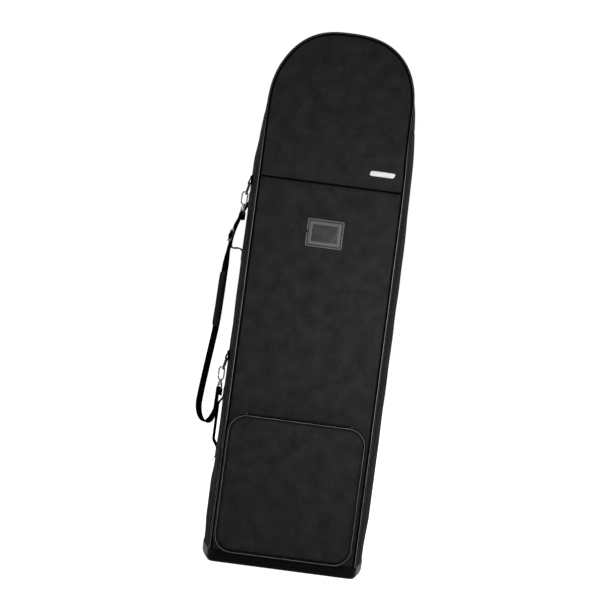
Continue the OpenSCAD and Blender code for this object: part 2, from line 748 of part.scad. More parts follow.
module main_pull(z, tilt) {
    color("#26262a") slider_place(z) translate([pull_axis, 0, 0]) rotate([0, -tilt, 0]) {
        bar_y([0, 0, 0], 6.8, 0.9);
        for (s = [-1, 1]) translate([-pull_t / 2, s * 2.5 - 0.9, -9]) cube([pull_t, 1.8, 9]);
        translate([-pull_t / 2, 0, -pull_l / 2 - 4]) rotate([90, 0, 90]) linear_extrude(pull_t)
            difference() {
                rounded_rect(pull_w, pull_l - 8, 2.5);
                translate([0, -5]) circle(r = 1.6);
            }
    }
}

// ---- Card window, plain badge and pocket ----

face_y = front_y - fit;    // things sewn to the lower panel start here

notch_r = 3.5;             // thumb notch in the frame's outer edge

module card_place() {
    translate([0, 0, card_z]) children();
}

module id_frame() {
    inner_w = card_w - 2 * card_border;
    inner_h = card_h - 2 * card_border;
    color("#5f6063") card_place() difference() {
        plate(face_y - 2.4, face_y) rounded_rect(card_w, card_h, 3);
        plate(face_y - 5, face_y + 1) {
            rounded_rect(inner_w, inner_h, 1.5);
            translate([-card_w / 2, 2]) circle(r = notch_r);
        }
        // The pocket for the card, open behind the frame.
        plate(face_y - 1.5, face_y + 1) square([inner_w + 8, inner_h + 8], center = true);
        // Pressed channels where the border is stitched.
        for (grow = [3.5, 9]) plate(face_y - 4, face_y - 2) difference() {
            rounded_rect(inner_w + 2 * grow, inner_h + 2 * grow, 2);
            rounded_rect(inner_w + 2 * grow - 2, inner_h + 2 * grow - 2, 1.5);
        }
    }
}

module id_window() {
    color([0.2, 0.2, 0.22, 0.5]) card_place() plate(face_y - 1.3, face_y - 0.7)
        square([card_w - 2 * card_border + 6, card_h - 2 * card_border + 6], center = true);
}

module id_card() {
    color("#3a3a3d") card_place() plate(face_y - 0.5, face_y)
        square([card_w - 2 * card_border + 5, card_h - 2 * card_border + 5], center = true);
}

badge_x = half_w - 54.5;
badge_z = 951;

module blank_badge() {
    color("#d8d8d8") translate([badge_x, 0, badge_z])
        plate(face_y - hood_rise - 1, face_y - hood_rise) rounded_rect(60, 12, 5.5);
}

pocket_x = (pocket_left - pocket_right) / 2;
pocket_low = flap_z + 3;
pocket_mid = pocket_low + pocket_h / 2;
pocket_y = front_y - pocket_d;

// Rounded rectangle of the pocket at depth y, grown outward, less at the bottom.
function pocket_ring(grow, low_grow, r, y) = let (hw = pocket_w / 2 + grow,
        top = pocket_low + pocket_h + grow, low = pocket_low - low_grow, arc = [for (a = [0:15:90]) a])
    concat([for (a = arc) [pocket_x + hw - r + r * cos(a), y, top - r + r * sin(a)]],
           [for (a = arc) [pocket_x - hw + r - r * sin(a), y, top - r + r * cos(a)]],
           [for (a = arc) [pocket_x - hw + r - r * cos(a), y, low + r - r * sin(a)]],
           [for (a = arc) [pocket_x + hw - r + r * sin(a), y, low + r - r * cos(a)]]);

module pocket_shell() {
    w = pocket_wall;
    color("#222224") loft([pocket_ring(-3, -3, pocket_corner - 3, pocket_y),
        pocket_ring(0, 0, pocket_corner, pocket_y + 3),
        pocket_ring(pocket_flare, 2.7, pocket_corner + 4, face_y),
        pocket_ring(pocket_flare - w, 2.7 - w, pocket_corner + 4 - w, face_y),
        pocket_ring(-w, -w, pocket_corner - w, pocket_y + w + 1)]);
}

module pocket_piping() {
    r = pocket_piping_r;
    away = (r + fit) * sqrt(0.5);
    y = pocket_y + 1.5 - away;
    grow = -1.5 + away;
    path = pocket_ring(grow, grow, pocket_corner + grow, y);
    n = len(path);
    color("#0e0e10") loft([for (i = [0:n - 1])
        let (t = unit(path[(i + 1) % n] - path[(i + n - 1) % n]), out = cross(t, [0, 1, 0]))
        [for (a = [0:45:315]) path[i] + r * (cos(a) * out + sin(a) * [0, 1, 0])]], loop = true);
}

pocket_top = pocket_low + pocket_h;
pocket_slope = atan2(pocket_flare, pocket_d - 3 - fit);
pocket_zip_w = pocket_w - 68;

// Local frame on the pocket's sloped top: x along the zip, y down the slope, z outward.
module pocket_top_place(x) {
    mid_y = (pocket_y + 3 + face_y) / 2;
    translate([pocket_x + x, mid_y, pocket_top + pocket_flare / 2]) rotate([pocket_slope, 0, 0])
        children();
}

module pocket_zip() {
    color("#0f0f11") pocket_top_place(0) for (s = [-1, 1]) translate([0, s * 3.6, fit])
        linear_extrude(1) square([pocket_zip_w, 5.2], center = true);
}

pocket_slider_x = 7 - pocket_zip_w / 2;

module pocket_slider() {
    color("silver") pocket_top_place(pocket_slider_x) {
        translate([0, 0, 1 + 2 * fit]) linear_extrude(1.2) rounded_rect(9, 7, 2.5);
        translate([-1.5, -0.6, fit]) cube([3, 1.2, 1 + fit + 0.5]);
        translate([-4, 0.9, 2 + 2 * fit]) rotate([90, 0, 0]) linear_extrude(1.8) difference() {
            square([8, 3.2]);
            translate([1.2, -0.1]) square([5.6, 2.3]);
        }
    }
}

module pocket_pull() {
    color("#26262a") pocket_top_place(pocket_slider_x) translate([0, 0, 3.3 + fit]) {
        bar_y([0, 0, 0], 5, 0.6);
        for (s = [-1, 1]) translate([0, s * 1.9 - 0.6, -0.6]) cube([7, 1.2, 1.2]);
        translate([15, 0, -0.6]) linear_extrude(1.2) rounded_rect(17, 6, 2);
    }
}

// ---- Nodes ----

module left_side() mirror([1, 0, 0]) children();

back_panel();
case_gusset();
base_boot();
base_board();
rear_piping();
zip_tape_case();
skid_rails();
rail_rivets();
left_side() wheel_housing();  // wheel_housing_left
wheel_housing();  // wheel_housing_right
left_side() axle();  // axle_left
axle();  // axle_right
left_side() tyre();  // tyre_left
tyre();  // tyre_right
left_side() hub();  // hub_left
hub();  // hub_right
left_side() bearings();  // bearings_left
bearings();  // bearings_right
crown_pad();
interior_straps();
buckle_female(inner_zs[1]);  // buckle_female_upper
buckle_female(inner_zs[0]);  // buckle_female_lower
buckle_male(inner_zs[1]);  // buckle_male_upper
buckle_male(inner_zs[0]);  // buckle_male_lower
ring_tab(ring_z);  // ring_tab_upper
ring_tab(lower_ring_z);  // ring_tab_lower
d_ring(ring_z);  // d_ring_upper
d_ring(lower_ring_z);  // d_ring_lower
snap_hook(ring_z);  // snap_hook_upper
snap_hook(lower_ring_z);  // snap_hook_lower
snap_gate(ring_z);  // snap_gate_upper
snap_gate(lower_ring_z);  // snap_gate_lower
swivel_eye(ring_z);  // swivel_eye_upper
swivel_eye(lower_ring_z);  // swivel_eye_lower
shoulder_strap();
shoulder_pad();
strap_adjuster();
side_handle_upper();
side_handle_lower();
tow_handle();
flap_panel_lower();
flap_panel_hood();
flap_gusset();
front_piping();
zip_tape_flap();
main_slider(slider_high);  // main_slider_upper
main_slider(slider_low);  // main_slider_lower
main_pull(slider_high, upper_tilt);  // main_pull_upper
main_pull(slider_low, 0);  // main_pull_lower
id_frame();
id_window();
id_card();
blank_badge();
pocket_shell();
pocket_piping();
pocket_zip();
pocket_slider();
pocket_pull();
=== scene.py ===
"""Looks of the golf travel case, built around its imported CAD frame. Metres, +Z up, front towards -Y."""

import json
import math

import bmesh
import bpy
import numpy as np
from mathutils import Matrix, Vector
from mathutils.bvhtree import BVHTree

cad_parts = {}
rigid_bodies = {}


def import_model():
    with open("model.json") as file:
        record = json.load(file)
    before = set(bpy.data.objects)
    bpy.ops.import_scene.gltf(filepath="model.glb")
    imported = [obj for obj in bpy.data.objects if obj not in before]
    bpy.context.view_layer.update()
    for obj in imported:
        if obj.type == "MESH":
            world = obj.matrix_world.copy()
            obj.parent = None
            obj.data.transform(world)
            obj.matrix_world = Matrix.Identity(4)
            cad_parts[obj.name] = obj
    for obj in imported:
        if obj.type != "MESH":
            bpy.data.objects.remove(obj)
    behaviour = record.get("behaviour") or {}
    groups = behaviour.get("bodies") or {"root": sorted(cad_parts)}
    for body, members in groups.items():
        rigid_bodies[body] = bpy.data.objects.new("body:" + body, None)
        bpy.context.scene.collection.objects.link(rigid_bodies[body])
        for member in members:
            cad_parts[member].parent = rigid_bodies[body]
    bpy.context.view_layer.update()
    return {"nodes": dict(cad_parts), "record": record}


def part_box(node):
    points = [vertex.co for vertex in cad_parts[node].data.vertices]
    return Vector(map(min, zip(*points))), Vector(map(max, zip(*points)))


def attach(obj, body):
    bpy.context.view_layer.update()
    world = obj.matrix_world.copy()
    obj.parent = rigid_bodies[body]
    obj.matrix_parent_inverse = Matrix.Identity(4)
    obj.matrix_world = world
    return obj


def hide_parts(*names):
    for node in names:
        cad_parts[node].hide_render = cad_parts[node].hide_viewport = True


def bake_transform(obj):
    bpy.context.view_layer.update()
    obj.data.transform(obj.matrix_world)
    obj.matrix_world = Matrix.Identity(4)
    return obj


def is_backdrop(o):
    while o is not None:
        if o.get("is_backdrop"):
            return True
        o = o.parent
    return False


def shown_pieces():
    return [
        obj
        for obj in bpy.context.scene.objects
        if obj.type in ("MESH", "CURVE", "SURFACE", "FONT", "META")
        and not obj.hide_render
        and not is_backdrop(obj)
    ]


for leftover in list(bpy.data.objects):
    bpy.data.objects.remove(leftover)
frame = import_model()
scene = bpy.context.scene
scene.view_settings.view_transform = "Standard"

# ---- Sizes, read from the frame where a node shows them ----

piping_low, piping_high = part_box("front_piping")
PIPING_R = (piping_high.y - piping_low.y) / 2
PIPING_Y = -(piping_high.y + piping_low.y) / 2
HALF_W = piping_high.x - PIPING_R
CASE_H = piping_high.z - PIPING_R
FLAP_Z = piping_low.z
HALF_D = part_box("back_panel")[1].y
ARCH_H = 0.195
ARCH_POWER = 2.5
ARCH_Z = CASE_H - ARCH_H
SIDE_BULGE = 0.022
CROWN_BULGE = 0.006
SWELL_LOW = ARCH_Z - 0.115
SWELL_HIGH = ARCH_Z + 0.125
FIT = 0.0003
EDGE = PIPING_R + FIT
CASE_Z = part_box("case_gusset")[0].z
SEAM_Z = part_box("flap_panel_lower")[1].z
HOOD_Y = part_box("flap_panel_hood")[0].y
FACE_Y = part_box("flap_panel_lower")[0].y
ZIP_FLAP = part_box("zip_tape_flap")
ZIP_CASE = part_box("zip_tape_case")
ZIP_Y = (ZIP_FLAP[1].y + ZIP_CASE[0].y) / 2
HALF_GAP = ZIP_CASE[0].y - ZIP_Y
GUSSET_WALL = 0.006
STRIP_WALL = 0.003
BOOT_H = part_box("base_boot")[1].z
RING_Y = -0.060
UPPER_RING_Z = 0.898
LOWER_RING_Z = 0.474

# ---- The photograph's frame: 612 by 612 ----

IMAGE = 612
POINTS = {
    "outline_left": (196.0, None),
    "outline_right": (415.3, None),
    "outline_top": (None, 32.4),
    "outline_bottom": (None, 578.5),
    "cross_seam_middle": (330.0, 186.0),
    "card_frame": (325.3, 232.9),
    "card_bead_upper": (338.3, 230.8),
    "card_bead_lower": (337.5, 235.0),
    "left_piping": (242.6, 292.0),
    "right_piping": (390.2, 298.4),
    "pocket_top": (292.5, 420.0),
    "pocket_right": (356.4, 509.0),
    "pocket_bottom": (288.7, 560.7),
    "upper_tab": (250.4, 179.9),
    "upper_hook": (244.4, 200.6),
    "strap_pad": (219.6, 298.7),
    "strap_bight": (207.0, 421.0),
    "lower_hook": (221.4, 375.6),
    "main_slider": (219.0, 450.8),
}
CAMERA_AT = Vector((-0.0215, -3.300, 0.623))
CAMERA_ROLL = math.radians(7.5)
CAMERA_LENS = 79.34
SENSOR = 36.0


def make_camera():
    """A level camera square to the front, rolled so that the case leans as in the photograph."""
    data = bpy.data.cameras.new("camera")
    data.lens = CAMERA_LENS
    data.sensor_width = SENSOR
    data.sensor_fit = "AUTO"
    camera = bpy.data.objects.new("camera", data)
    scene.collection.objects.link(camera)
    right = Vector((math.cos(CAMERA_ROLL), 0, math.sin(CAMERA_ROLL)))
    up = Vector((-math.sin(CAMERA_ROLL), 0, math.cos(CAMERA_ROLL)))
    turned = Matrix((right, up, right.cross(up))).transposed().to_4x4()
    camera.matrix_world = Matrix.Translation(CAMERA_AT) @ turned
    scene.camera = camera
    bpy.context.view_layer.update()
    return camera


camera = make_camera()


def pixel_ray(x, y):
    """The ray from the camera through a point of the photograph."""
    data = camera.data
    long_side = IMAGE * data.lens / data.sensor_width
    local = Vector((x - IMAGE / 2 + data.shift_x * IMAGE, IMAGE / 2 - y + data.shift_y * IMAGE,
                    -long_side))
    return camera.matrix_world.translation, (camera.matrix_world.to_3x3() @ local).normalized()


def pixel_of(points):
    """Where points of the frame show in the photograph's pixels."""
    data = camera.data
    local = (np.asarray(points, float) - np.array(camera.matrix_world.translation)) @ np.array(
        camera.matrix_world.to_3x3())
    scale = IMAGE * data.lens / data.sensor_width / -local[:, 2]
    x = IMAGE / 2 - data.shift_x * IMAGE + local[:, 0] * scale
    y = IMAGE / 2 + data.shift_y * IMAGE - local[:, 1] * scale
    return np.stack([x, y], 1)


def place(name, carrier):
    """Where the ray through a named point meets its carrier, with the normal there."""
    origin, ray = pixel_ray(*POINTS[name])
    tree = tree_of(carrier)
    hit, normal, _, _ = tree.ray_cast(origin, ray)
    if hit is None:
        along = ray * (Vector(carrier.bound_box[0]) - origin).dot(ray)
        hit, normal, _, _ = tree.find_nearest(origin + along)
    return hit, normal if normal.dot(ray) < 0 else -normal


def evaluated(obj):
    """An object with its modifiers, as the scene shows it."""
    return obj.evaluated_get(bpy.context.evaluated_depsgraph_get())


def shown_mesh(obj):
    """An object's mesh with its modifiers, in the frame's place."""
    mesh = bpy.data.meshes.new_from_object(evaluated(obj))
    mesh.transform(obj.matrix_world)
    return mesh


def tree_of(obj):
    """An object's shown faces, for casting rays."""
    mesh = shown_mesh(obj)
    return BVHTree.FromPolygons([v.co for v in mesh.vertices], [list(p.vertices) for p in mesh.polygons])


# ---- Outline of the case, as in the CAD source ----


def ease(t):
    t = np.clip(t, 0, 1)
    return t * t * (3 - 2 * t)


def bulge_at(z):
    return SIDE_BULGE + (CROWN_BULGE - SIDE_BULGE) * ease((z - SWELL_LOW) / (SWELL_HIGH - SWELL_LOW))


def swell(y, bulge):
    return bulge * np.maximum(0, np.sin(np.pi * (y + HALF_D) / (2 * HALF_D)))


def side_x(y):
    return HALF_W + swell(y, SIDE_BULGE)


def slope_at(y):
    """How steeply the side's swell rises at depth y."""
    return SIDE_BULGE * math.cos(math.pi * (y + HALF_D) / (2 * HALF_D)) * math.pi / (2 * HALF_D)


def arch(turn):
    """Points of the arch at these angles, with the outward normals: x, z, nx, nz."""
    c, s = np.cos(turn), np.sin(turn) * (turn < np.pi)
    share, k = 2 / ARCH_POWER, 2 - 2 / ARCH_POWER
    points = np.stack([HALF_W * np.sign(c) * np.abs(c) ** share, ARCH_Z + ARCH_H * s ** share], 1)
    normals = np.stack([np.sign(c) * np.abs(c) ** k / HALF_W, s ** k / ARCH_H], 1)
    return np.concatenate([points, unit(normals)], 1)


def unit(vectors):
    return vectors / np.linalg.norm(vectors, axis=-1, keepdims=True)


def outline(z0, step=0.010, arch_steps=120):
    """Stations up the right side, over the arch and down the left: x, z and the outward normal."""
    rise = np.linspace(z0, ARCH_Z, int((ARCH_Z - z0) / step), endpoint=False)
    right = np.stack([np.full_like(rise, HALF_W), rise, np.ones_like(rise), np.zeros_like(rise)], 1)
    left = right[::-1] * [-1, 1, -1, 1]
    return np.concatenate([right, arch(np.linspace(0, np.pi, arch_steps + 1)), left])


def outward_of(stations):
    """The outward normals of stations as vectors."""
    return np.stack([stations[:, 2], np.zeros(len(stations)), stations[:, 3]], 1)


def at_each(stations, y, out):
    """Rows of points, one row for each station, at depths y and distances out from the outline."""
    x, z, nx, nz = stations.T[:, :, None]
    return np.stack([x + nx * out, y, z + nz * out], 2)


def at(stations, y, out):
    """Points at depth y and a distance out from the outline."""
    y, out = (np.ones(len(stations)) * v for v in (y, out))
    return at_each(stations, y[:, None], out[:, None])[:, 0]


def lengths(points):
    """Running length along a row of points."""
    return np.concatenate([[0], np.cumsum(np.linalg.norm(np.diff(points, axis=0), axis=1))])


def along_path(path, run, places):
    """A path's columns at these running lengths."""
    return np.stack([np.interp(places, run, column) for column in path.T], -1)


def wave(n, seed, wavelength, spacing):
    """A smooth random row of numbers about 0 with roughly unit height."""
    rng = np.random.default_rng(seed)
    knots = max(4, int(n * spacing / wavelength) + 3)
    values = rng.uniform(-1, 1, knots)
    t = np.linspace(0, knots - 1.001, n)
    i = t.astype(int)
    f = ease(t - i)
    return values[i] * (1 - f) + values[i + 1] * f


def cloth_field(u, v, seed, wavelength):
    """Smooth random heights over a surface, from its two lengths, with roughly unit height."""
    rng = np.random.default_rng(seed)
    total = np.zeros_like(u)
    for _ in range(5):
        angle, phase = rng.uniform(0, np.pi), rng.uniform(0, 2 * np.pi)
        pitch = wavelength * rng.uniform(0.6, 1.5)
        total += np.sin(2 * np.pi * (u * np.cos(angle) + v * np.sin(angle)) / pitch + phase)
    return total / 2.4


# ---- Meshes ----


def places_of(obj):
    """An object's vertices as rows of numbers."""
    co = np.zeros(len(obj.data.vertices) * 3)
    obj.data.vertices.foreach_get("co", co)
    return co.reshape(-1, 3)


def move_to(obj, co):
    obj.data.vertices.foreach_set("co", co.ravel())
    obj.data.update()


def make(name, verts, faces, uvs=None):
    mesh = bpy.data.meshes.new(name)
    mesh.from_pydata([tuple(v) for v in verts], [], [tuple(f) for f in faces])
    if uvs is not None:
        layer = mesh.uv_layers.new(name="metres")
        layer.data.foreach_set("uv", np.asarray(uvs, np.float32).ravel())
    mesh.polygons.foreach_set("use_smooth", [True] * len(mesh.polygons))
    mesh.update()
    obj = bpy.data.objects.new(name, mesh)
    scene.collection.objects.link(obj)
    return obj


def sheet(x, y, z):
    """Rows of points over x and z, at depths y."""
    return np.stack(np.broadcast_arrays(x[None], y, z[:, None]), 2)


def grid(name, rows, loop=False, ring=False, caps=False, flat=False):
    """A mesh over a grid of points. ring closes each row and loop joins the last row to the first."""
    rows = np.asarray(rows, float)
    m, n = rows.shape[:2]
    wide = np.concatenate([rows, rows[:, :1]], 1) if ring else rows
    tall = np.concatenate([wide, wide[:1]], 0) if loop else wide
    u = np.cumsum(np.linalg.norm(np.diff(tall, axis=1, prepend=tall[:, :1]), axis=2), axis=1)
    v = lengths(tall.mean(1))[:, None] * np.ones_like(u)
    if flat:
        u, v = tall[..., 0], tall[..., 2]
    i, j = np.indices((tall.shape[0] - 1, tall.shape[1] - 1)).reshape(2, -1)
    a, b, k = i % m * n, (i + 1) % m * n, (j + 1) % n
    faces = np.stack([a + j, a + k, b + k, b + j], 1).tolist()
    uvs = np.stack([[u[c], v[c]] for c in ((i, j), (i, j + 1), (i + 1, j + 1), (i + 1, j))])
    uvs = uvs.transpose(2, 0, 1).reshape(-1, 2)
    if caps:
        faces += [list(range(row * n, row * n + n)) for row in (0, m - 1)]
        uvs = np.concatenate([uvs, rows[0, :, :2], rows[-1, :, :2]])
    obj = make(name, rows.reshape(-1, 3), faces, uvs)
    if ring:
        outward(obj)
    return obj


def outward(obj):
    """Turns a closed mesh's faces outward."""
    b = bmesh.new()
    b.from_mesh(obj.data)
    bmesh.ops.recalc_face_normals(b, faces=b.faces)
    b.to_mesh(obj.data)
    b.free()


def tube(name, path, radius, sides=14, loop=False):
    """A round tube along a path, its radius one number or one for each point."""
    path = np.asarray(path, float)
    if loop:
        tangent = np.roll(path, -1, 0) - np.roll(path, 1, 0)
    else:
        tangent = np.gradient(path, axis=0)
    tangent = unit(tangent)
    side = np.cross(tangent, [0, 1, 0])
    weak = np.linalg.norm(side, axis=1) < 1e-3
    side[weak] = np.cross(tangent[weak], [0, 0, 1])
    side = unit(side)
    other = np.cross(side, tangent)
    radius = np.broadcast_to(radius, len(path))[:, None, None]
    a = np.linspace(0, 2 * np.pi, sides, endpoint=False)
    spokes = np.cos(a)[:, None] * side[:, None] + np.sin(a)[:, None] * other[:, None]
    return grid(name, path[:, None] + radius * spokes, loop=loop, ring=True, caps=not loop)


SELVEDGE = 0.35


def ribbon(name, path, across, width, thick):
    """Flat webbing along a path with slightly rounded selvedges, across being the way of its width."""
    path = np.asarray(path, float)
    across = unit(np.broadcast_to(np.asarray(across, float), path.shape))
    normal = unit(np.cross(unit(np.gradient(path, axis=0)), across))
    w, t = width / 2, thick / 2
    thin = t * SELVEDGE
    half = [(-w, -thin), (-w + t, -t), (-w / 2, -t), (0, -t), (w / 2, -t), (w - t, -t), (w, -thin)]
    rows = np.stack([path + across * a + normal * b for a, b in half + [(-a, -b) for a, b in half]], 1)
    return grid(name, rows, ring=True, caps=True), normal


def smooth_path(points, steps=8):
    """A Catmull-Rom curve through given points, flat or in space."""
    p = np.asarray(points, float)
    p = np.concatenate([p[:1], p, p[-1:]])
    t = (np.arange(steps) / steps)[:, None]
    spans = [0.5 * (2 * b + (c - a) * t + (2 * a - 5 * b + 4 * c - d) * t**2
                    + (3 * b - 3 * c + d - a) * t**3) for a, b, c, d in zip(p, p[1:], p[2:], p[3:])]
    return np.concatenate(spans + [p[-1:]])


def join(name, objects):
    """Joins objects into one mesh with this name."""
    with bpy.context.temp_override(active_object=objects[0], selected_editable_objects=objects):
        bpy.ops.object.join()
    objects[0].name = name
    objects[0].data.name = name
    return objects[0]


def stitches(name, path, up, pitch=0.0042, length=0.0031, width=0.00045):
    """A row of thread stitches along a path: slim lozenges that sink into the cloth at both ends."""
    path, up = np.asarray(path, float), np.broadcast_to(up, np.shape(path)).astype(float)
    run = lengths(path)
    verts, faces = [], []
    for s in np.arange(pitch / 2, run[-1] - length / 2, pitch):
        a, b = (along_path(path, run, s + end * length / 2) for end in (-1, 1))
        along = (b - a) / max(np.linalg.norm(b - a), 1e-9)
        n = along_path(up, run, s)
        n = unit(n - along * (n @ along))
        side, middle, k = np.cross(along, n), (a + b) / 2, len(verts)
        verts += [a - n * width * 0.6, middle + side * width, middle + n * width * 1.1,
                  middle - side * width, middle - n * width * 0.6, b - n * width * 0.6]
        faces += [(k, k + 1, k + 2), (k, k + 2, k + 3), (k, k + 3, k + 4), (k, k + 4, k + 1),
                  (k + 5, k + 2, k + 1), (k + 5, k + 3, k + 2), (k + 5, k + 4, k + 3), (k + 5, k + 1, k + 4)]
    return make(name, verts, faces)


def cut(obj, lows, highs):
    """Cuts boxes out of a mesh, for good."""
    for low, high in zip(lows, highs):
        low, high = Vector(low), Vector(high)
        bpy.ops.mesh.primitive_cube_add(size=1, location=(low + high) / 2)
        box = bpy.context.object
        box.scale = high - low
        bpy.context.view_layer.update()
        modify(obj, "BOOLEAN", object=box, operation="DIFFERENCE", solver="EXACT")
        bpy.data.objects.remove(box)
    return obj


def modify(obj, kind, **settings):
    """Changes an object's mesh by one modifier with these settings, for good."""
    modifier = obj.modifiers.new(kind, kind)
    for key, value in settings.items():
        setattr(modifier, key, value)
    mesh = bpy.data.meshes.new_from_object(evaluated(obj))
    obj.modifiers.clear()
    old, obj.data = obj.data, mesh
    bpy.data.meshes.remove(old)


CLOTH = {"quality": 5, "vertex_group_mass": "sewn", "use_pressure": True, "uniform_pressure_force": 4.0,
         "shrink_min": -0.003, "bending_stiffness": 0.8}
CLOTH_FRAMES = 20


def simulate(obj, pinned, cap):
    """Lets cloth swell between its sewn edges, and holds the swelling to a cap."""
    rest = places_of(obj)
    group = obj.vertex_groups.new(name="sewn")
    group.add([int(i) for i in pinned], 1.0, "REPLACE")
    modifier = obj.modifiers.new("cloth", "CLOTH")
    for key, value in CLOTH.items():
        setattr(modifier.settings, key, value)
    modifier.settings.effector_weights.gravity = 0
    modifier.point_cache.frame_start, modifier.point_cache.frame_end = 1, CLOTH_FRAMES
    for number in range(1, CLOTH_FRAMES + 1):
        scene.frame_set(number)
    shift = places_of(evaluated(obj)) - rest
    longest = np.linalg.norm(shift, axis=1).max()
    shift *= min(1.0, cap / max(longest, 1e-9))
    obj.modifiers.clear()
    obj.vertex_groups.clear()
    scene.frame_set(1)
    move_to(obj, rest + shift)
    print(obj.name, "swelled", round(longest * 1000, 2), "mm, held to", round(cap * 1000, 2))


# ---- Materials ----


def wire(tree, kind, values=None, **settings):
    """Adds a node, sets it up and joins its sockets to outputs or gives them values."""
    node = tree.nodes.new("ShaderNode" + kind)
    for key, value in settings.items():
        setattr(node, key, value)
    for socket, value in (values or {}).items():
        if isinstance(value, bpy.types.NodeSocket):
            tree.links.new(value, node.inputs[socket])
        else:
            node.inputs[socket].default_value = value
    return node


class Nodes:
    """A material whose shader nodes are wired with plain calls."""

    def __init__(self, name, colour, roughness, spec=0.5, **inputs):
        self.material = bpy.data.materials.new(name)
        self.material.use_nodes = True
        self.tree = self.material.node_tree
        self.shader = self.tree.nodes["Principled BSDF"]
        given = {"Base Color": (*colour, 1), "Roughness": roughness, "Specular IOR Level": spec, **inputs}
        for key, value in given.items():
            self.shader.inputs[key.replace("_", " ")].default_value = value

    def add(self, kind, values, output=0, **settings):
        """Adds a node and returns one of its outputs."""
        return wire(self.tree, kind, values, **settings).outputs[output]

    def feed(self, socket, value):
        self.tree.links.new(value, self.shader.inputs[socket])

    def math(self, operation, a, b=0.0, c=0.0):
        return self.add("Math", {0: a, 1: b, 2: c}, operation=operation)

    def mul(self, a, b, plus=None):
        """a times b, plus a third value where one is given."""
        return self.math("MULTIPLY", a, b) if plus is None else self.math("MULTIPLY_ADD", a, b, plus)

    def noise(self, where, scale, detail=2.0, stretch=None):
        """Noise over a place, whose coordinates may first be stretched by three numbers."""
        if stretch:
            where = self.add("VectorMath", {0: where, 1: stretch}, operation="MULTIPLY")
        return self.add("TexNoise", {"Vector": where, "Scale": scale, "Detail": detail})

    def split(self, where):
        return wire(self.tree, "SeparateXYZ", {0: where}).outputs

    def ridges(self, along, pitch):
        """Ridges across a length, from -1 to 1, one for each pitch."""
        return self.math("SINE", self.mul(along, 2 * math.pi / pitch))

    def object_place(self):
        return self.add("TexCoord", {}, "Object")

    def cloth_place(self):
        return self.add("UVMap", {}, uv_map="metres")

    def tint(self, factor, dark, light):
        """Base colour from dark to light as the factor goes from 0 to 1."""
        self.feed("Base Color", self.add("Mix", {"Factor": factor, 6: (*dark, 1), 7: (*light, 1)}, 2,
                                         data_type="RGBA"))

    def gloss(self, factor, low, high):
        """Roughness from low to high as the factor goes from 0 to 1."""
        self.feed("Roughness", self.add("MapRange", {0: factor, 3: low, 4: high}))

    def bump(self, height, depth):
        """Raises the surface by height times depth, in metres."""
        self.feed("Normal", self.add("Bump", {"Height": height, "Distance": depth}))
        return self.material


def shade(colour, factor):
    return tuple(c * factor for c in colour)


def woven(name, colour, spec, pitch=0.0011, roughness=0.8):
    """Plain-weave cloth: threads over and under, thick and thin yarns, and a faint cloudiness."""
    m = Nodes(name, colour, roughness, spec)
    where = m.cloth_place()
    u, v, _ = m.split(where)

    def crossed(weft, warp):
        return m.math("ADD", m.noise(where, 1.0, stretch=weft), m.noise(where, 1.0, stretch=warp))
    threads = m.mul(m.ridges(u, pitch), m.ridges(v, pitch))
    yarns = crossed((60, 700, 1), (700, 60, 1))
    slubs = crossed((40, 330, 1), (300, 36, 1))
    tone = m.mul(slubs, 0.35, m.mul(threads, 0.06, m.mul(yarns, 0.3, m.noise(where, 28.0, 4.0))))
    m.tint(m.mul(tone, 1.6, -1.36), shade(colour, 1 - CLOTH_CONTRAST), shade(colour, 1 + CLOTH_CONTRAST))
    return m.bump(m.math("ADD", threads, yarns), 0.0001)


def webbing_cloth(name, colour):
    """Ribbed polypropylene webbing: bars across the width, split by fine warp threads."""
    m = Nodes(name, colour, 0.55, 0.0)
    where = m.cloth_place()
    u, v, _ = m.split(where)
    bars = m.ridges(m.mul(m.math("ABSOLUTE", m.ridges(u, 0.009)), 0.0012, v), 0.0022)
    worn = m.noise(where, 60.0, 3.0)
    m.tint(m.mul(bars, 0.3, worn), shade(colour, 0.6), shade(colour, 1.6))
    m.gloss(worn, 0.45, 0.7)
    return m.bump(m.mul(m.ridges(u, 0.0009), 0.25, bars), 0.00016)


def vinyl(name, colour, roughness, grain, depth, spec=0.5):
    """Smooth or finely grained plastic with soft rubbed patches."""
    m = Nodes(name, colour, roughness, spec)
    where = m.object_place()
    rubbed = m.noise(where, 22.0, 3.0)
    m.tint(rubbed, shade(colour, 0.75), shade(colour, 1.35))
    m.gloss(rubbed, roughness * 0.8, min(1.0, roughness * 1.35))
    return m.bump(m.noise(where, grain), depth)


def painted_highlight_cord(name, colour, crest, radius, roughness=0.2):
    """Vinyl drawn tightly over a cord, with a highlight painted paler along its crest, weaker round the
    case's crown.
    """
    m = Nodes(name, colour, roughness, 0.03)
    where = m.cloth_place()
    # The lighter band along the cord's crest is a painted highlight.
    highlight_mask = m.math("POWER", m.math("ABSOLUTE", m.ridges(m.split(where)[0], 2 * math.pi * radius)), 70.0)
    patches = m.noise(where, 1.0, 3.0, (0, 30, 0))
    height = m.split(m.object_place())[2]
    # Round the crown the painted highlight drops to about a third, as painted shade where the light falls
    # off.
    highlight_by_height = m.math("MINIMUM", m.math("MAXIMUM", m.mul(height, -5.0, 5.6), 0.35), 1.0)
    m.tint(m.mul(highlight_mask, m.mul(highlight_by_height, m.mul(patches, 1.2, 0.2))), colour, (crest,) * 3)
    m.gloss(patches, roughness * 0.8, roughness * 1.5)
    return m.bump(m.noise(m.object_place(), 900.0), 0.00002)


def metal(name, colour, roughness):
    """Plated metal with fine drawn scratches and a little tarnish."""
    m = Nodes(name, colour, roughness, Metallic=1.0)
    where = m.object_place()
    scratch = m.noise(where, 6.0, stretch=(400, 400, 30))
    m.tint(m.noise(where, 90.0, 3.0), shade(colour, 0.8), colour)
    m.gloss(scratch, roughness * 0.7, roughness * 1.5)
    return m.bump(scratch, 0.00002)


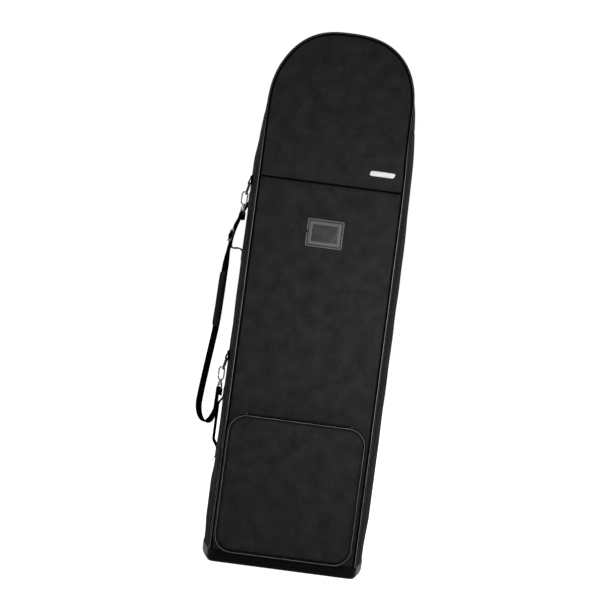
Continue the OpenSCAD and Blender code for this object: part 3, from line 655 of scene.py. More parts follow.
def smoky_vinyl(name, colour):
    """Cloudy, smoke-grey window vinyl with faint ripples, through which the card can't be made out."""
    m = Nodes(name, colour, 0.3, 0.2)
    haze = m.noise(m.object_place(), 60.0)
    m.tint(haze, shade(colour, 0.6), shade(colour, 1.5))
    m.gloss(haze, 0.22, 0.4)
    return m.bump(m.noise(m.object_place(), 45.0, 1.0), 0.0004)


def satin_thread(name, colour):
    """Shiny embroidery thread, its strands lying side by side."""
    m = Nodes(name, colour, 0.45, Sheen_Weight=0.2)
    u, v, _ = m.split(m.cloth_place())
    strands = m.ridges(m.mul(v, 0.5, u), 0.0005)
    m.tint(m.mul(strands, 0.25, 0.6), shade(colour, 0.7), colour)
    return m.bump(strands, 0.0001)


def quilted(name, colour):
    """Soft tricot over foam for the liner."""
    m = Nodes(name, colour, 0.9, Sheen_Weight=0.3)
    where = m.cloth_place()
    u, v, _ = m.split(where)
    m.tint(m.noise(where, 25.0, 3.0), shade(colour, 0.7), shade(colour, 1.4))
    return m.bump(m.mul(m.ridges(u, 0.0018), m.ridges(v, 0.0013)), 0.00015)


BLACK = (0.0137, 0.0127, 0.0134)
INK = (0.0016, 0.0016, 0.0017)
JET = (0.0012, 0.0012, 0.0013)
DARK = (0.006, 0.006, 0.0064)
STEEL = (0.5, 0.5, 0.51)
CLOTH_CONTRAST = 0.45
POCKET_PIPE_R = 0.0026

# Each look: its maker, name and colour, then the maker's other values in their order.
LOOKS = [
    (woven, "panel_cloth", BLACK, 0.08),
    # The gusset cloth is the panel cloth made darker: painted shade on the case's side walls.
    (woven, "gusset_cloth", shade(BLACK, 0.58), 0.03),
    (woven, "lining", (0.02, 0.02, 0.022), 0.2, 0.0008, 0.6),
    # The pipings' crests carry a painted highlight.
    (painted_highlight_cord, "piping", JET, 0.28, PIPING_R),
    (painted_highlight_cord, "pocket_piping", JET, 0.22, POCKET_PIPE_R),
    (vinyl, "boot", JET, 0.4, 1400, 0.00006, 0.04),
    (vinyl, "board", (0.03, 0.03, 0.03), 0.8, 300, 0.00004),
    (woven, "zip_tape", (0.0035, 0.0035, 0.0037), 0.06, 0.0009),
    (vinyl, "zip_teeth", DARK, 0.4, 900, 0.00004, 0.2),
    # Near-black seam cloth: painted shade in the creases beside the piping, under the hood and round the
    # pocket, and the binding inside.
    (woven, "seam", INK, 0.02, 0.0009),
    (vinyl, "moulding", (0.008, 0.008, 0.0086), 0.5, 1500, 0.0001, 0.25),
    (vinyl, "buckle", (0.003, 0.003, 0.0032), 0.35, 1600, 0.00003, 0.1),
    (vinyl, "tyre", (0.022, 0.022, 0.024), 0.75, 700, 0.0001, 0.2),
    (vinyl, "hub", (0.22, 0.22, 0.23), 0.45, 1200, 0.00004),
    (metal, "steel", STEEL, 0.3),
    (metal, "rivet", STEEL, 0.35),
    (metal, "chrome", (0.25, 0.253, 0.26), 0.13),
    (metal, "dark_metal", (0.02, 0.02, 0.021), 0.25),
    (vinyl, "pull", (0.012, 0.012, 0.0135), 0.45, 1800, 0.00006, 0.3),
    (webbing_cloth, "webbing", INK),
    (vinyl, "strap_pad", JET, 0.6, 420, 0.00025, 0.02),
    (quilted, "liner", (0.045, 0.045, 0.05)),
    (vinyl, "card_frame", (0.063, 0.064, 0.066), 0.5, 650, 0.00008, 0.3),
    # The channel's darker vinyl is painted shade in the frame's stitched groove.
    (vinyl, "card_channel", (0.021, 0.021, 0.022), 0.6, 650, 0.00008, 0.15),
    (smoky_vinyl, "card_window", (0.022, 0.0217, 0.0225)),
    (vinyl, "card", (0.031, 0.031, 0.032), 0.7, 2500, 0.00001, 0.1),
    (satin_thread, "badge", (0.97, 0.97, 0.97)),
    (vinyl, "thread", DARK, 0.6, 3000, 0.00004, 0.1),
]
MATERIALS = {name: maker(name, *values) for maker, name, *values in LOOKS}


def dress(obj, name):
    obj.data.materials.clear()
    obj.data.materials.append(MATERIALS[name])


def finish_with(obj, name, body):
    """Gives a piece its material and the body it rides on."""
    dress(obj, name)
    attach(obj, body)
    return obj


# Every CAD node that stays in view gets the material of its slot in the record.
for entry in frame["record"]["subparts"]:
    dress(frame["nodes"][entry["node"]], entry["material_slot"])


# ---- Panels of padded cloth ----


def even(path, count):
    """A path's points again, evenly spaced."""
    run = lengths(path)
    return along_path(path, run, np.linspace(0, run[-1], count))


def coons(bottom, right, top, left):
    """Points over the patch between four border rows. Bottom and top run alike, and left and right."""
    u = np.linspace(0, 1, len(bottom))[None, :, None]
    v = np.linspace(0, 1, len(left))[:, None, None]
    ruled = (1 - v) * bottom[None] + v * top[None] + (1 - u) * left[:, None] + u * right[:, None]
    corners = (1 - v) * ((1 - u) * bottom[0] + u * bottom[-1]) + v * ((1 - u) * top[0] + u * top[-1])
    return ruled - corners


def numbered(rows):
    """The vertex numbers of a grid."""
    return np.arange(rows.shape[0] * rows.shape[1]).reshape(rows.shape[:2])


def border_of(rows):
    """Numbers of the vertices on the border of a grid."""
    index = numbered(rows)
    return np.unique(np.concatenate([index[0], index[-1], index[:, 0], index[:, -1]]))


def border_distance(points, border):
    """Flat distance of each point from a closed border line, and how far round it the nearest place is."""
    points, border = points * [1, 0, 1], border * [1, 0, 1]
    gap = np.full(len(points), 1e9)
    nearest_run = np.zeros(len(points))
    run = lengths(border)
    for k in range(0, len(border), 64):
        d = np.linalg.norm(points[:, None] - border[None, k:k + 64], axis=2)
        nearest = d.argmin(1)
        closer = d[np.arange(len(points)), nearest] < gap
        gap[closer] = d[np.arange(len(points)), nearest][closer]
        nearest_run[closer] = run[k + nearest[closer]]
    return gap, nearest_run


def pull_in_seam(obj, border, inward, seed):
    """Rolls a panel's edge in at its seam and gathers the cloth beside it."""
    co = places_of(obj)
    gap, run = border_distance(co, border)
    rng = np.random.default_rng(seed)
    gathers = sum(np.sin(2 * np.pi * run / pitch + rng.uniform(0, 6)) for pitch in (0.011, 0.017, 0.029)) / 3
    roll = 0.0012 * np.exp(-(gap / 0.0028) ** 2)
    pucker = 0.0005 * gathers * np.exp(-gap / 0.010) * ease(gap / 0.004)
    move_to(obj, co + inward * (roll + pucker)[:, None])


def rumple(obj, border, inward, height, seed, keep):
    """Soft waves in a panel that die away at its seams, and over the part that keep presses flat."""
    co = places_of(obj)
    fade = ease((border_distance(co, border)[0] - 0.004) / 0.06)
    if keep:
        (x0, z0), (x1, z1) = keep
        away = np.hypot(np.maximum(0, np.maximum(x0 - co[:, 0], co[:, 0] - x1)),
                        np.maximum(0, np.maximum(z0 - co[:, 2], co[:, 2] - z1)))
        fade *= ease(away / 0.05)
    waves = height * fade * cloth_field(co[:, 0], co[:, 2] * 0.6, seed, 0.085)
    move_to(obj, co + inward * waves[:, None])


def subdivide(obj):
    modify(obj, "SUBSURF", levels=1, render_levels=1)
    obj.data.polygons.foreach_set("use_smooth", [True] * len(obj.data.polygons))


WAVES = 0.0008
DEEP_WAVES = 0.0011


def padded_panel(name, rows, held, cap, border, thickness, body, seed, waves=WAVES, keep=None):
    """Cloth over foam, sewn round its border: swollen by simulation, rolled in at the seam, and lined."""
    obj = grid(name, rows, flat=True)
    inward = np.array([0.0, 1, 0] if body == "flap" else [0.0, -1, 0])
    simulate(obj, held, cap)
    subdivide(obj)
    pull_in_seam(obj, border, inward, seed)
    rumple(obj, border, inward, waves, seed + 50, keep)
    finish_with(obj, "panel_cloth", body)
    obj.data.materials.append(MATERIALS["lining"])
    modify(obj, "SOLIDIFY", thickness=thickness, offset=-1, use_even_offset=True, material_offset=1,
           material_offset_rim=0)
    return obj


SEAM_GAP = 0.0024
CROSS_GAP = 0.0040


def make_lower_panel():
    w, cell = HALF_W - EDGE - SEAM_GAP, 0.006
    high = SEAM_Z - CROSS_GAP / 2
    nx, nz = int(2 * w / cell), int((high - FLAP_Z) / cell)
    x, z = np.linspace(-w, w, nx), np.linspace(FLAP_Z, high, nz)
    rows = sheet(x, FACE_Y, z)
    border = np.concatenate([rows[0], rows[:, -1], rows[-1][::-1], rows[::-1, 0]])
    # The card window's frame presses the cloth behind it flat.
    low, high = (np.array(corner)[[0, 2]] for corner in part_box("id_frame"))
    flat, margin = rows.reshape(-1, 3)[:, [0, 2]], 0.004
    pressed = np.nonzero(((flat > low - margin) & (flat < high + margin)).all(1))[0]
    held = np.union1d(border_of(rows), pressed)
    obj = padded_panel("front_panel", rows, held, 0.0016, even(border, 900), 0.007, "flap", 3,
                       keep=(low, high))
    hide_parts("flap_panel_lower")
    return obj


def arch_patch(z0, inset, y, nx, nz):
    """A grid over the case's outline above z0, and its border."""
    edge = at(outline(z0), y, -inset)
    on_top = np.nonzero(edge[:, 2] > ARCH_Z + 0.7 * ARCH_H)[0]
    a, b = on_top[0], on_top[-1]
    bottom = even(np.stack([edge[-1], edge[0]]), nx)
    right, left = even(edge[:a + 1], nz), even(edge[b:], nz)[::-1]
    rows = coons(bottom, right, even(edge[a:b + 1], nx)[::-1], left)
    return rows, even(np.concatenate([edge, edge[:1]]), 900)


def make_hood():
    rows, border = arch_patch(SEAM_Z + CROSS_GAP / 2, EDGE + SEAM_GAP, HOOD_Y, 56, 60)
    obj = padded_panel("hood", rows, border_of(rows), 0.0036, border, 0.009, "flap", 5, DEEP_WAVES)
    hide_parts("flap_panel_hood")
    return obj


def make_crease_shade_strips():
    """Seam allowances in the creases beside the piping and under the hood, made near-black as painted shade
    for those creases.
    """
    stations = outline(FLAP_Z, step=0.008)
    path = at(stations, FACE_Y + 0.0026, -0.0058)
    flange = ribbon("flange", path, outward_of(stations), 0.0070, 0.0006)[0]
    x = np.linspace(-(HALF_W - EDGE), HALF_W - EDGE, 40)
    fold = np.stack([x, np.full(40, FACE_Y + 0.0045), np.full(40, SEAM_Z)], 1)
    cross = ribbon("cross", fold, (0, 0, 1), 0.012, 0.0006)[0]
    return finish_with(join("front_seams_painted_shade", [flange, cross]), "seam", "flap")


def wheel_bays():
    """Boxes that the wheel housings fill, just clear of them."""
    low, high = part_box("wheel_housing_right")
    x, y, z = low.x - FIT, low.y - FIT, high.z + FIT
    return [(x, y, -0.1), (-0.4, y, -0.1)], [(0.4, 0.4, z), (-x, 0.4, z)]


def make_back():
    rows, border = arch_patch(CASE_Z, GUSSET_WALL + FIT, HALF_D, 44, 150)
    obj = padded_panel("back_panel_cloth", rows[:, ::-1], border_of(rows), 0.002, border, 0.0075, "case", 7)
    cut(obj, *wheel_bays())
    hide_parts("back_panel")
    return obj


def make_inner_binding():
    """The bound seam allowance that fills the corner between the gusset and the back panel inside."""
    stations = outline(CASE_Z, step=0.008, arch_steps=80)
    path = at(stations, PIPING_Y - EDGE - 0.0022, -(GUSSET_WALL + 0.0012))
    obj = tube("inner_binding", path, 0.0026, 10)
    cut(obj, *wheel_bays())
    return finish_with(obj, "seam", "case")


# ---- Gusset, piping and zip ----


def band(name, stations, ys, outer, inner):
    """A closed strip round the outline, from how far its two faces lie out at the depths ys."""
    out, depth = np.concatenate([outer, inner[:, ::-1]], 1), np.concatenate([ys, ys[::-1]])
    rows = at_each(stations, np.broadcast_to(depth, out.shape), out)
    return grid(name, rows, ring=True, caps=True)


def two_faced(obj, inside, material="lining"):
    """Gives the faces for which inside is true the lining's material."""
    obj.data.materials.append(MATERIALS[material])
    obj.data.polygons.foreach_set("material_index", np.asarray(inside, int))


def strip(name, z0, y0, y1, wall, body, across, seed):
    """The gusset between two depths: cloth over foam that follows the swell, eased in at its seams."""
    stations = outline(z0, step=0.006, arch_steps=110)
    run = lengths(stations[:, [0, 1]])
    ys = np.linspace(y0, y1, across + 1)
    bulge = bulge_at(stations[:, 1])
    edge = np.minimum(ys - y0, y1 - ys)
    u, v = np.meshgrid(run, ys, indexing="ij")
    soft = 0.0005 * cloth_field(u, v, seed, 0.09) * np.minimum(1, edge / 0.02)
    gathers = 0.0003 * np.sin(2 * np.pi * u / 0.013 + 2 * cloth_field(u, v, seed + 1, 0.1))
    gathers *= np.exp(-edge / 0.007)
    tuck = 0.0011 * np.exp(-(edge / 0.0022) ** 2)
    arch_foot = run[np.argmin(abs(stations[:, 1] - ARCH_Z))]
    crossing = np.exp(-(np.minimum(abs(run - arch_foot), abs(run[-1] - run - arch_foot)) / 0.0022) ** 2)
    low = ease((0.20 - stations[:, 1]) / 0.06) * (stations[:, 0] < 0)
    fold = 0.0016 * (np.exp(-((ys + 0.055) / 0.012) ** 2) - np.exp(-((ys + 0.085) / 0.010) ** 2))
    round_ = swell(ys[None], bulge[:, None])
    outer = round_ + np.minimum(soft, 0.0003) + gathers - tuck - 0.0008 * crossing[:, None]
    outer = outer + low[:, None] * fold[None] * np.minimum(1, edge / 0.02)
    obj = band(name, stations, ys, outer, round_ - wall)
    finish_with(obj, "gusset_cloth", body)
    count = len(obj.data.polygons)
    two_faced(obj, (np.arange(count) % (2 * across + 2) > across) & (np.arange(count) < count - 2))
    return obj


def make_gussets():
    rear = strip("gusset_cloth_case", CASE_Z, ZIP_CASE[1].y + FIT, PIPING_Y - EDGE, GUSSET_WALL, "case",
                 40, 11)
    cut(rear, *wheel_bays())
    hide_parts("case_gusset")
    front = strip("gusset_cloth_flap", FLAP_Z, -PIPING_Y + EDGE, ZIP_FLAP[0].y - FIT, STRIP_WALL, "flap",
                  6, 13)
    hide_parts("flap_gusset")
    return rear, front


def make_piping(name, y, z0, body, replaced, seed):
    """A vinyl cord covered seam: round, a little uneven where the cover is gathered over it."""
    path = at(outline(z0, step=0.004, arch_steps=200), y, 0)
    radius = PIPING_R * (0.985 + 0.012 * wave(len(path), seed, 0.02, 0.004))
    obj = tube(name, path, radius, 16)
    finish_with(obj, "piping", body)
    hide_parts(replaced)
    return obj


def make_tape(name, box, z0, body, replaced):
    """A woven zip tape under the gusset's skin, with the ridge that holds the coil."""
    stations = outline(z0, step=0.008, arch_steps=110)
    bulge = bulge_at(stations[:, 1])[:, None]
    ys = np.linspace(box[0].y, box[1].y, 7)
    ridge = 0.0005 * np.exp(-((abs(ys - ZIP_Y) - HALF_GAP - 0.0012) / 0.0007) ** 2)
    round_ = swell(ys[None], bulge)
    obj = band(name, stations, ys, round_ - 0.0004 + ridge[None], round_ - 0.0014)
    finish_with(obj, "zip_tape", body)
    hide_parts(replaced)
    return obj


BEAD_SHARE = 0.75


def beads(name, centres, along, across, up):
    """Small six-sided studs along across, as wide as BEAD_SHARE of along and up."""
    verts, faces = [], []
    turn = np.linspace(0, 2 * np.pi, 6, endpoint=False)
    for c, a, b, n in zip(centres, along, across, up):
        k = len(verts)
        for end in (-1, 1):
            verts += [c + b * end + BEAD_SHARE * (a * np.cos(t) + n * np.sin(t)) for t in turn]
        faces += [(k + j, k + (j + 1) % 6, k + 6 + (j + 1) % 6, k + 6 + j) for j in range(6)]
        faces += [tuple(k + 5 - j for j in range(6)), tuple(k + 6 + j for j in range(6))]
    obj = make(name, verts, faces)
    outward(obj)
    return obj


def make_teeth(name, side, z0, body):
    """One half of the zip's coil, staggered against the other half."""
    pitch = 0.0026
    stations = outline(z0, step=0.001, arch_steps=600)
    run = lengths(stations[:, [0, 1]])
    places = np.arange(pitch * (0.75 if side > 0 else 1.25), run[-1] - pitch, pitch)
    st = along_path(stations, run, places)
    out = swell(ZIP_Y, bulge_at(st[:, 1])) - 0.0013
    centres = at(st, ZIP_Y + side * 0.0007, out)
    normal = outward_of(st)
    along = np.stack([-st[:, 3], np.zeros(len(st)), st[:, 2]], 1)
    across = np.broadcast_to([0, 0.0013, 0], along.shape)
    obj = beads(name, centres, along * 0.0009, across, normal * 0.0007)
    return finish_with(obj, "zip_teeth", body)


# ---- Boot ----

BOOT_CORNER = 0.020
BOOT_LIP = 0.0015


def boot_plan(inset):
    """The boot's plan as in the CAD source, drawn in by an inset."""
    r = BOOT_CORNER - inset
    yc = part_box("base_boot")[1].y - BOOT_CORNER
    xc = side_x(yc) + BOOT_LIP - BOOT_CORNER
    a = np.linspace(0, np.pi / 2, 10)
    side = np.linspace(-0.95 * yc, 0.95 * yc, 25)
    arc = np.stack([r * np.sin(a), r * np.cos(a)], 1)
    left = np.stack([-side_x(side) - BOOT_LIP + inset, side], 1)
    half = np.concatenate([-arc - [xc, yc], left, arc[::-1] * [-1, 1] + [-xc, yc]])
    return np.concatenate([half, -half])


def make_boot():
    rings = [(9, 0), (6, 0.5), (3.5, 2.4), (1.3, 5.5), (0.2, 8.4), (0, 10), (0, 20.5), (-0.5, 21.2),
             (-0.5, 23.2), (0, 23.9), (0, 27.2), (0.25, 28.7), (1, 29.6), (4.5, 29.6), (5, 29), (5, 5.4),
             (5.4, 5)]
    plans = [(boot_plan(inset / 1000), z / 1000) for inset, z in rings]
    rows = [np.column_stack([plan, np.full(len(plan), z)]) for plan, z in plans]
    obj = grid("boot", rows, ring=True, caps=True)
    finish_with(obj, "boot", "case")
    cut(obj, *wheel_bays())
    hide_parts("base_boot")
    return obj


def make_hinge():
    """The strip of binding that joins the flap to the boot inside."""
    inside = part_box("flap_panel_lower")[1].y + 0.0008
    x = np.linspace(-(HALF_W - 0.012), HALF_W - 0.012, 60)
    z = np.linspace(BOOT_H - 0.012, FLAP_Z + 0.020, 16)
    sag = 0.0008 * np.exp(-((z - FLAP_Z) / 0.004) ** 2)
    y = inside + sag[:, None] + 0.0002 * wave(60, 31, 0.03, 0.0055)
    obj = grid("hinge_binding", sheet(x, y, z))
    dress(obj, "webbing")
    modify(obj, "SOLIDIFY", thickness=0.0009, offset=1)
    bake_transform(obj)
    return obj


# ---- Pocket ----

CORNERS = ((-1, -1), (1, -1), (1, 1), (-1, 1))

POCKET_LOW, POCKET_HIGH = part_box("pocket_shell")
POCKET_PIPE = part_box("pocket_piping")
POCKET_FLARE = 0.005
POCKET_CORNER = 0.040
POCKET_Y = POCKET_LOW.y
POCKET_BASE = POCKET_HIGH.y
POCKET_LOW_FLARE = 0.0027
POCKET_MID = np.array(Vector(((POCKET_LOW.x + POCKET_HIGH.x) / 2, 0,
                              (POCKET_LOW.z + POCKET_LOW_FLARE + POCKET_HIGH.z - POCKET_FLARE) / 2)))
POCKET_HALF_W = (POCKET_HIGH.x - POCKET_LOW.x) / 2 - POCKET_FLARE
POCKET_HALF_H = (POCKET_HIGH.z - POCKET_FLARE - POCKET_LOW.z - POCKET_LOW_FLARE) / 2


def rounded_loop(middle, w, h, r, y, straight, steps):
    """A rounded rectangle's outline at depth y, from half its width and height."""
    arc = np.linspace(0, np.pi / 2, steps)
    c, s = r * np.cos(arc), r * np.sin(arc)
    parts = [np.stack([w - r + s, r - h - c], 1), np.stack([w - r + c, h - r + s], 1),
             np.stack([r - w - s, h - r + c], 1), np.stack([r - w - c, r - h - s], 1)]
    between = np.linspace(0, 1, straight + 2)[1:-1, None]
    loop = np.concatenate([np.concatenate([p, p[-1] + (q[0] - p[-1]) * between]) for p, q in
                           zip(parts, parts[1:] + parts[:1])])
    return np.stack([middle[0] + loop[:, 0], np.full(len(loop), y), middle[2] + loop[:, 1]], 1)


def pocket_ring(grow, low_grow, y, steps=14, straight=40):
    """The pocket's rounded outline at depth y, grown outward, less at the bottom.

    It starts in the middle of the bottom left arc.
    """
    middle = (POCKET_MID[0], 0, POCKET_MID[2] + (grow - low_grow) / 2)
    ring = rounded_loop(middle, POCKET_HALF_W + grow, POCKET_HALF_H + (grow + low_grow) / 2,
                        POCKET_CORNER + grow * 0.8, y, straight, steps)
    return np.roll(ring, steps // 2, 0)


def pocket_patch(inset, y, nx, nz):
    """A grid over the pocket's front between four corners that sit half way round the arcs."""
    ring = pocket_ring(-inset, -inset, y)
    share = (ring - POCKET_MID) / [POCKET_HALF_W, 1, POCKET_HALF_H]
    picks = [int(np.argmax(share[:, 0] * a + share[:, 2] * b)) for a, b in CORNERS]

    def span(corner, count):
        i, j = picks[corner], picks[(corner + 1) % 4]
        return even(ring[i:j + 1] if i < j else np.concatenate([ring[i:], ring[:j + 1]]), count)
    rows = coons(span(0, nx), span(1, nz), span(2, nx)[::-1], span(3, nz)[::-1])
    return rows, even(np.concatenate([ring, ring[:1]]), 700)


def make_pocket():
    rows, border = pocket_patch(0.0044, POCKET_Y + 0.0004, 56, 56)
    padded_panel("pocket_face", rows, border_of(rows), 0.0062, border, 0.002, "flap", 17, DEEP_WAVES)

    # A near-black strip under the rolled edge of the pocket's face: painted shade in that crease.
    path = pocket_ring(-0.0042, -0.0042, POCKET_Y + 0.0022)
    across = np.cross(unit(np.roll(path, -1, 0) - np.roll(path, 1, 0)), [0, 1, 0])
    sides = [path + across * a * 0.0034 + np.array([0, b * 0.0003, 0]) for a, b in CORNERS]
    seam = grid("pocket_seam_painted_shade", np.stack(sides, 1), loop=True, ring=True)
    finish_with(seam, "seam", "flap")

    deep = POCKET_BASE - POCKET_Y
    levels = [(-0.0026, 0.0016), (-0.0012, 0.0018), (0.0, 0.0034)]
    levels += [(POCKET_FLARE * t - 0.0012 * math.sin(math.pi * t), 0.0034 + (deep - 0.0034) * t)
               for t in np.linspace(0, 1, 9)[1:]]
    inner = [(g - 0.0022, y if y < deep - 0.001 else deep) for g, y in levels[::-1]]
    sides = []
    for g, y in levels + inner:
        ring = pocket_ring(g, g * 0.54, POCKET_Y + y)
        run = lengths(ring)
        crease = 0.0005 * np.sin(2 * np.pi * run / 0.021 + 3 * np.sin(run / 0.05)) * math.exp(-y / 0.006)
        sides.append(ring + unit((ring - POCKET_MID) * [1, 0, 1]) * crease[:, None])
    wall = grid("pocket_wall", sides, loop=True, ring=True)
    finish_with(wall, "panel_cloth", "flap")
    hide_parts("pocket_shell")

    y = (POCKET_PIPE[0].y + POCKET_PIPE[1].y) / 2
    grow = POCKET_MID[0] - POCKET_PIPE[0].x - POCKET_HALF_W - POCKET_PIPE_R
    path = pocket_ring(grow, grow, y, steps=20, straight=60)
    radius = POCKET_PIPE_R * (0.98 + 0.015 * np.sin(lengths(path) / 0.007))
    piping = tube("pocket_piping_cord", path, radius, loop=True)
    finish_with(piping, "pocket_piping", "flap")
    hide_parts("pocket_piping")
    return piping


def make_pocket_zip():
    """The zip on the pocket's sloped top: two tapes, a coil and its stops."""
    low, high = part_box("pocket_zip")
    slope = math.atan2(POCKET_FLARE, POCKET_BASE - POCKET_Y - 0.003)
    middle = np.array([(low.x + high.x) / 2, (POCKET_Y + 0.003 + POCKET_BASE) / 2,
                       POCKET_HIGH.z - POCKET_FLARE / 2])
    down = np.array([0, math.cos(slope), math.sin(slope)])
    out = np.array([0, -math.sin(slope), math.cos(slope)])
    half = (high.x - low.x) / 2

    def spots(x, side, rise):
        return middle + np.multiply.outer(x, [1, 0, 0]) + np.multiply.outer(side, down) + rise * out

    def studs(name, centres, *sizes):
        return beads(name, centres, *(np.broadcast_to(v * w, centres.shape) for v, w in
                                      zip((np.array([1, 0, 0]), down, out), sizes)))
    x = np.linspace(-half, half, 80)
    paths = [spots(x, np.full(80, side), 0.0008) for side in (-0.0036, 0.0036)]
    tape = join("pocket_zip_tape", [ribbon("tape", path, down, 0.0052, 0.001)[0] for path in paths])
    finish_with(tape, "zip_tape", "flap")
    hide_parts("pocket_zip")
    places = np.arange(-half + 0.001, half - 0.001, 0.0013)
    side = np.where(np.arange(len(places)) % 2, 0.0004, -0.0004)
    teeth = studs("pocket_zip_coil", spots(places, side, 0.0010), 0.0008, 0.001, 0.0006)
    finish_with(teeth, "zip_teeth", "flap")
    ends = np.array([-1, 1]) * (half - 0.001)
    stops = studs("pocket_zip_stops", spots(ends, np.zeros(2), 0.0014), 0.0018, 0.0028, 0.0008)
    finish_with(stops, "chrome", "flap")


# ---- Webbing: tabs, strap and handles ----


def box_stitch(centre, along, across, up, long=0.015, wide=0.022):
    """A sewn box with a cross in it, its thread lying on the webbing."""
    centre, along, across, up = (np.asarray(v, float) for v in (centre, along, across, up))
    corner = [centre + s * along * long / 2 + t * across * wide / 2 for s, t in CORNERS]
    lines = [(0, 1), (1, 2), (2, 3), (3, 0), (0, 2), (1, 3)]
    return join("end", [stitches("line", np.stack([corner[a], corner[b]]), up) for a, b in lines])


def sew(name, body, rows):
    """Joins rows of thread, to ride with the piece that they hold."""
    finish_with(join(name, rows), "thread", body)


HANDLE_W = 0.030
HANDLE_T = 0.0028
HANDLE_OUT = 0.012         # how far the lower side handle stands off the case
DROOP_OUT = 0.032          # and how far the slack upper one hangs out
TOW_OUT = 0.024            # and the one on the back
HANDLE_ROW = 0.0125        # from a handle's middle to its rows of stitches
SEWN_END = 0.022
LIFT = 0.0015              # how far threads lie off a handle's middle


def loop_path(low, high, out=HANDLE_OUT, count=61):
    """A handle's line: flat over its sewn ends and standing out between them, as distance out and height."""
    z = np.linspace(low, high, count)
    rise = ease((np.minimum(z - low, high - z) - SEWN_END) / 0.0242)
    return np.stack([out * rise, z], 1)


# A slack handle's line, as in the CAD source: shares of how far it hangs out and of its free length.
DROOP = np.array([(0, 0), (0.12, 0.035), (0.38, 0.06), (0.68, 0.05), (0.92, 0.055), (1, 0.11), (0.97, 0.24),
                  (0.84, 0.42), (0.56, 0.66), (0.26, 0.86), (0.05, 0.97), (0, 1)])


def droop_path(low, high, out=DROOP_OUT):
    hand = np.column_stack([out * DROOP[:, 0], low + SEWN_END + (high - low - 2 * SEWN_END) * DROOP[:, 1]])
    sewn_low, sewn_high = ([[0, z] for z in np.linspace(a, b, 6)] for a, b in
                           ((low, low + SEWN_END - 0.003), (high - SEWN_END + 0.003, high)))
    return np.concatenate([sewn_low, smooth_path(hand, 6), sewn_high])


def end_boxes(low, high, spot, across, up):
    """The sewn boxes at a handle's two ends."""
    heights = low.z + SEWN_END / 2, high.z - SEWN_END / 2
    return [box_stitch((*spot, z), (0, 0, 1), across, up) for z in heights]


def make_side_handle(name, node, line):
    low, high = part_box(node)
    y = (low.y + high.y) / 2
    slope = slope_at(y)
    x0 = side_x(y) + 0.0022
    path = np.array([[-x0 - p, y, z] for p, z in line(low.z, high.z)])
    across = np.array([-slope, 1, 0]) / math.hypot(slope, 1)
    obj, normal = ribbon(name, path, across, HANDLE_W, HANDLE_T)
    finish_with(obj, "webbing", "case")
    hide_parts(node)
    up = np.array([-1, -slope, 0]) / math.hypot(slope, 1)
    ends = end_boxes(low, high, (up * LIFT - [x0, -y, 0])[:2], across, up)
    path, normal = path[6:-6], normal[6:-6]
    lines = [stitches("edge", path + across * s * HANDLE_ROW + normal * LIFT * face, normal * face)
             for s in (-1, 1) for face in (-1, 1)]
    sew(name + "_thread", "case", ends + lines)


def make_tow_handle():
    low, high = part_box("tow_handle")
    y0 = HALF_D + FIT + 0.0015
    path = np.array([[0, y0 + p, z] for p, z in loop_path(low.z, high.z, TOW_OUT)])
    obj, _ = ribbon("tow_handle_webbing", path, (1, 0, 0), HANDLE_W, HANDLE_T)
    finish_with(obj, "webbing", "case")
    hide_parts("tow_handle")
    sew("tow_handle_thread", "case", end_boxes(low, high, (0, y0 + LIFT), (1, 0, 0), (0, 1, 0)))


WALL_X = side_x(RING_Y)
HOOK_X = -(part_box("snap_hook_upper")[0].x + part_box("snap_hook_upper")[1].x) / 2
WIRE_R = 0.0019
STRAP_W = 0.036
STRAP_T = 0.0022
STRAP_ROW = 0.015          # from the strap's middle to its rows of stitches
STRAP_SEWN = slice(26, 46)  # the points of its route along which those rows run
EYE_TURN, STRAP_TURN = math.radians(15), math.radians(27)


def across_at(turn):
    """The direction of the strap's width where it is turned this much to the case's side."""
    return np.stack([np.sin(turn), -np.cos(turn), np.zeros_like(turn)], -1)


STRAP_DIR = across_at(STRAP_TURN)
UPPER_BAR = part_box("swivel_eye_upper")[0].z + WIRE_R
LOWER_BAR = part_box("swivel_eye_lower")[0].z + WIRE_R
TAB_T = 0.002
TAB_X = WALL_X + 0.0007 + TAB_T / 2
TAB_FOLD = WIRE_R + FIT + TAB_T / 2
TAB_W = 2 * (0.015 - WIRE_R - 2 * FIT)
CROSSING = 0.0022

# Each point of the strap is its distance outside the case's side and how far it is below a ring,
# as in the CAD source: the fall hangs from the upper ring and the bight under the lower one.
STRAP_FALL = np.array([(25.3, 102), (34.3, 158), (37.3, 208), (38.3, 278), (40.3, 343)]) / 1000
STRAP_BIGHT = np.array([(45.3, -26), (51.3, 34), (56.3, 89), (57.3, 122), (50.3, 146), (37.3, 158),
                        (24.3, 148), (17.3, 124)]) / 1000
PAD_POINTS = np.array([(37.6, 218), (38.1, 263), (38.9, 308), (40.9, 351)]) / 1000


def below(ring_z, points):
    """Points of the strap as x outward and z."""
    return np.stack([WALL_X + points[:, 0], ring_z - points[:, 1]], 1)


def strap_points(flat):
    return np.stack([-flat[:, 0], np.full(len(flat), RING_Y), flat[:, 1]], 1)


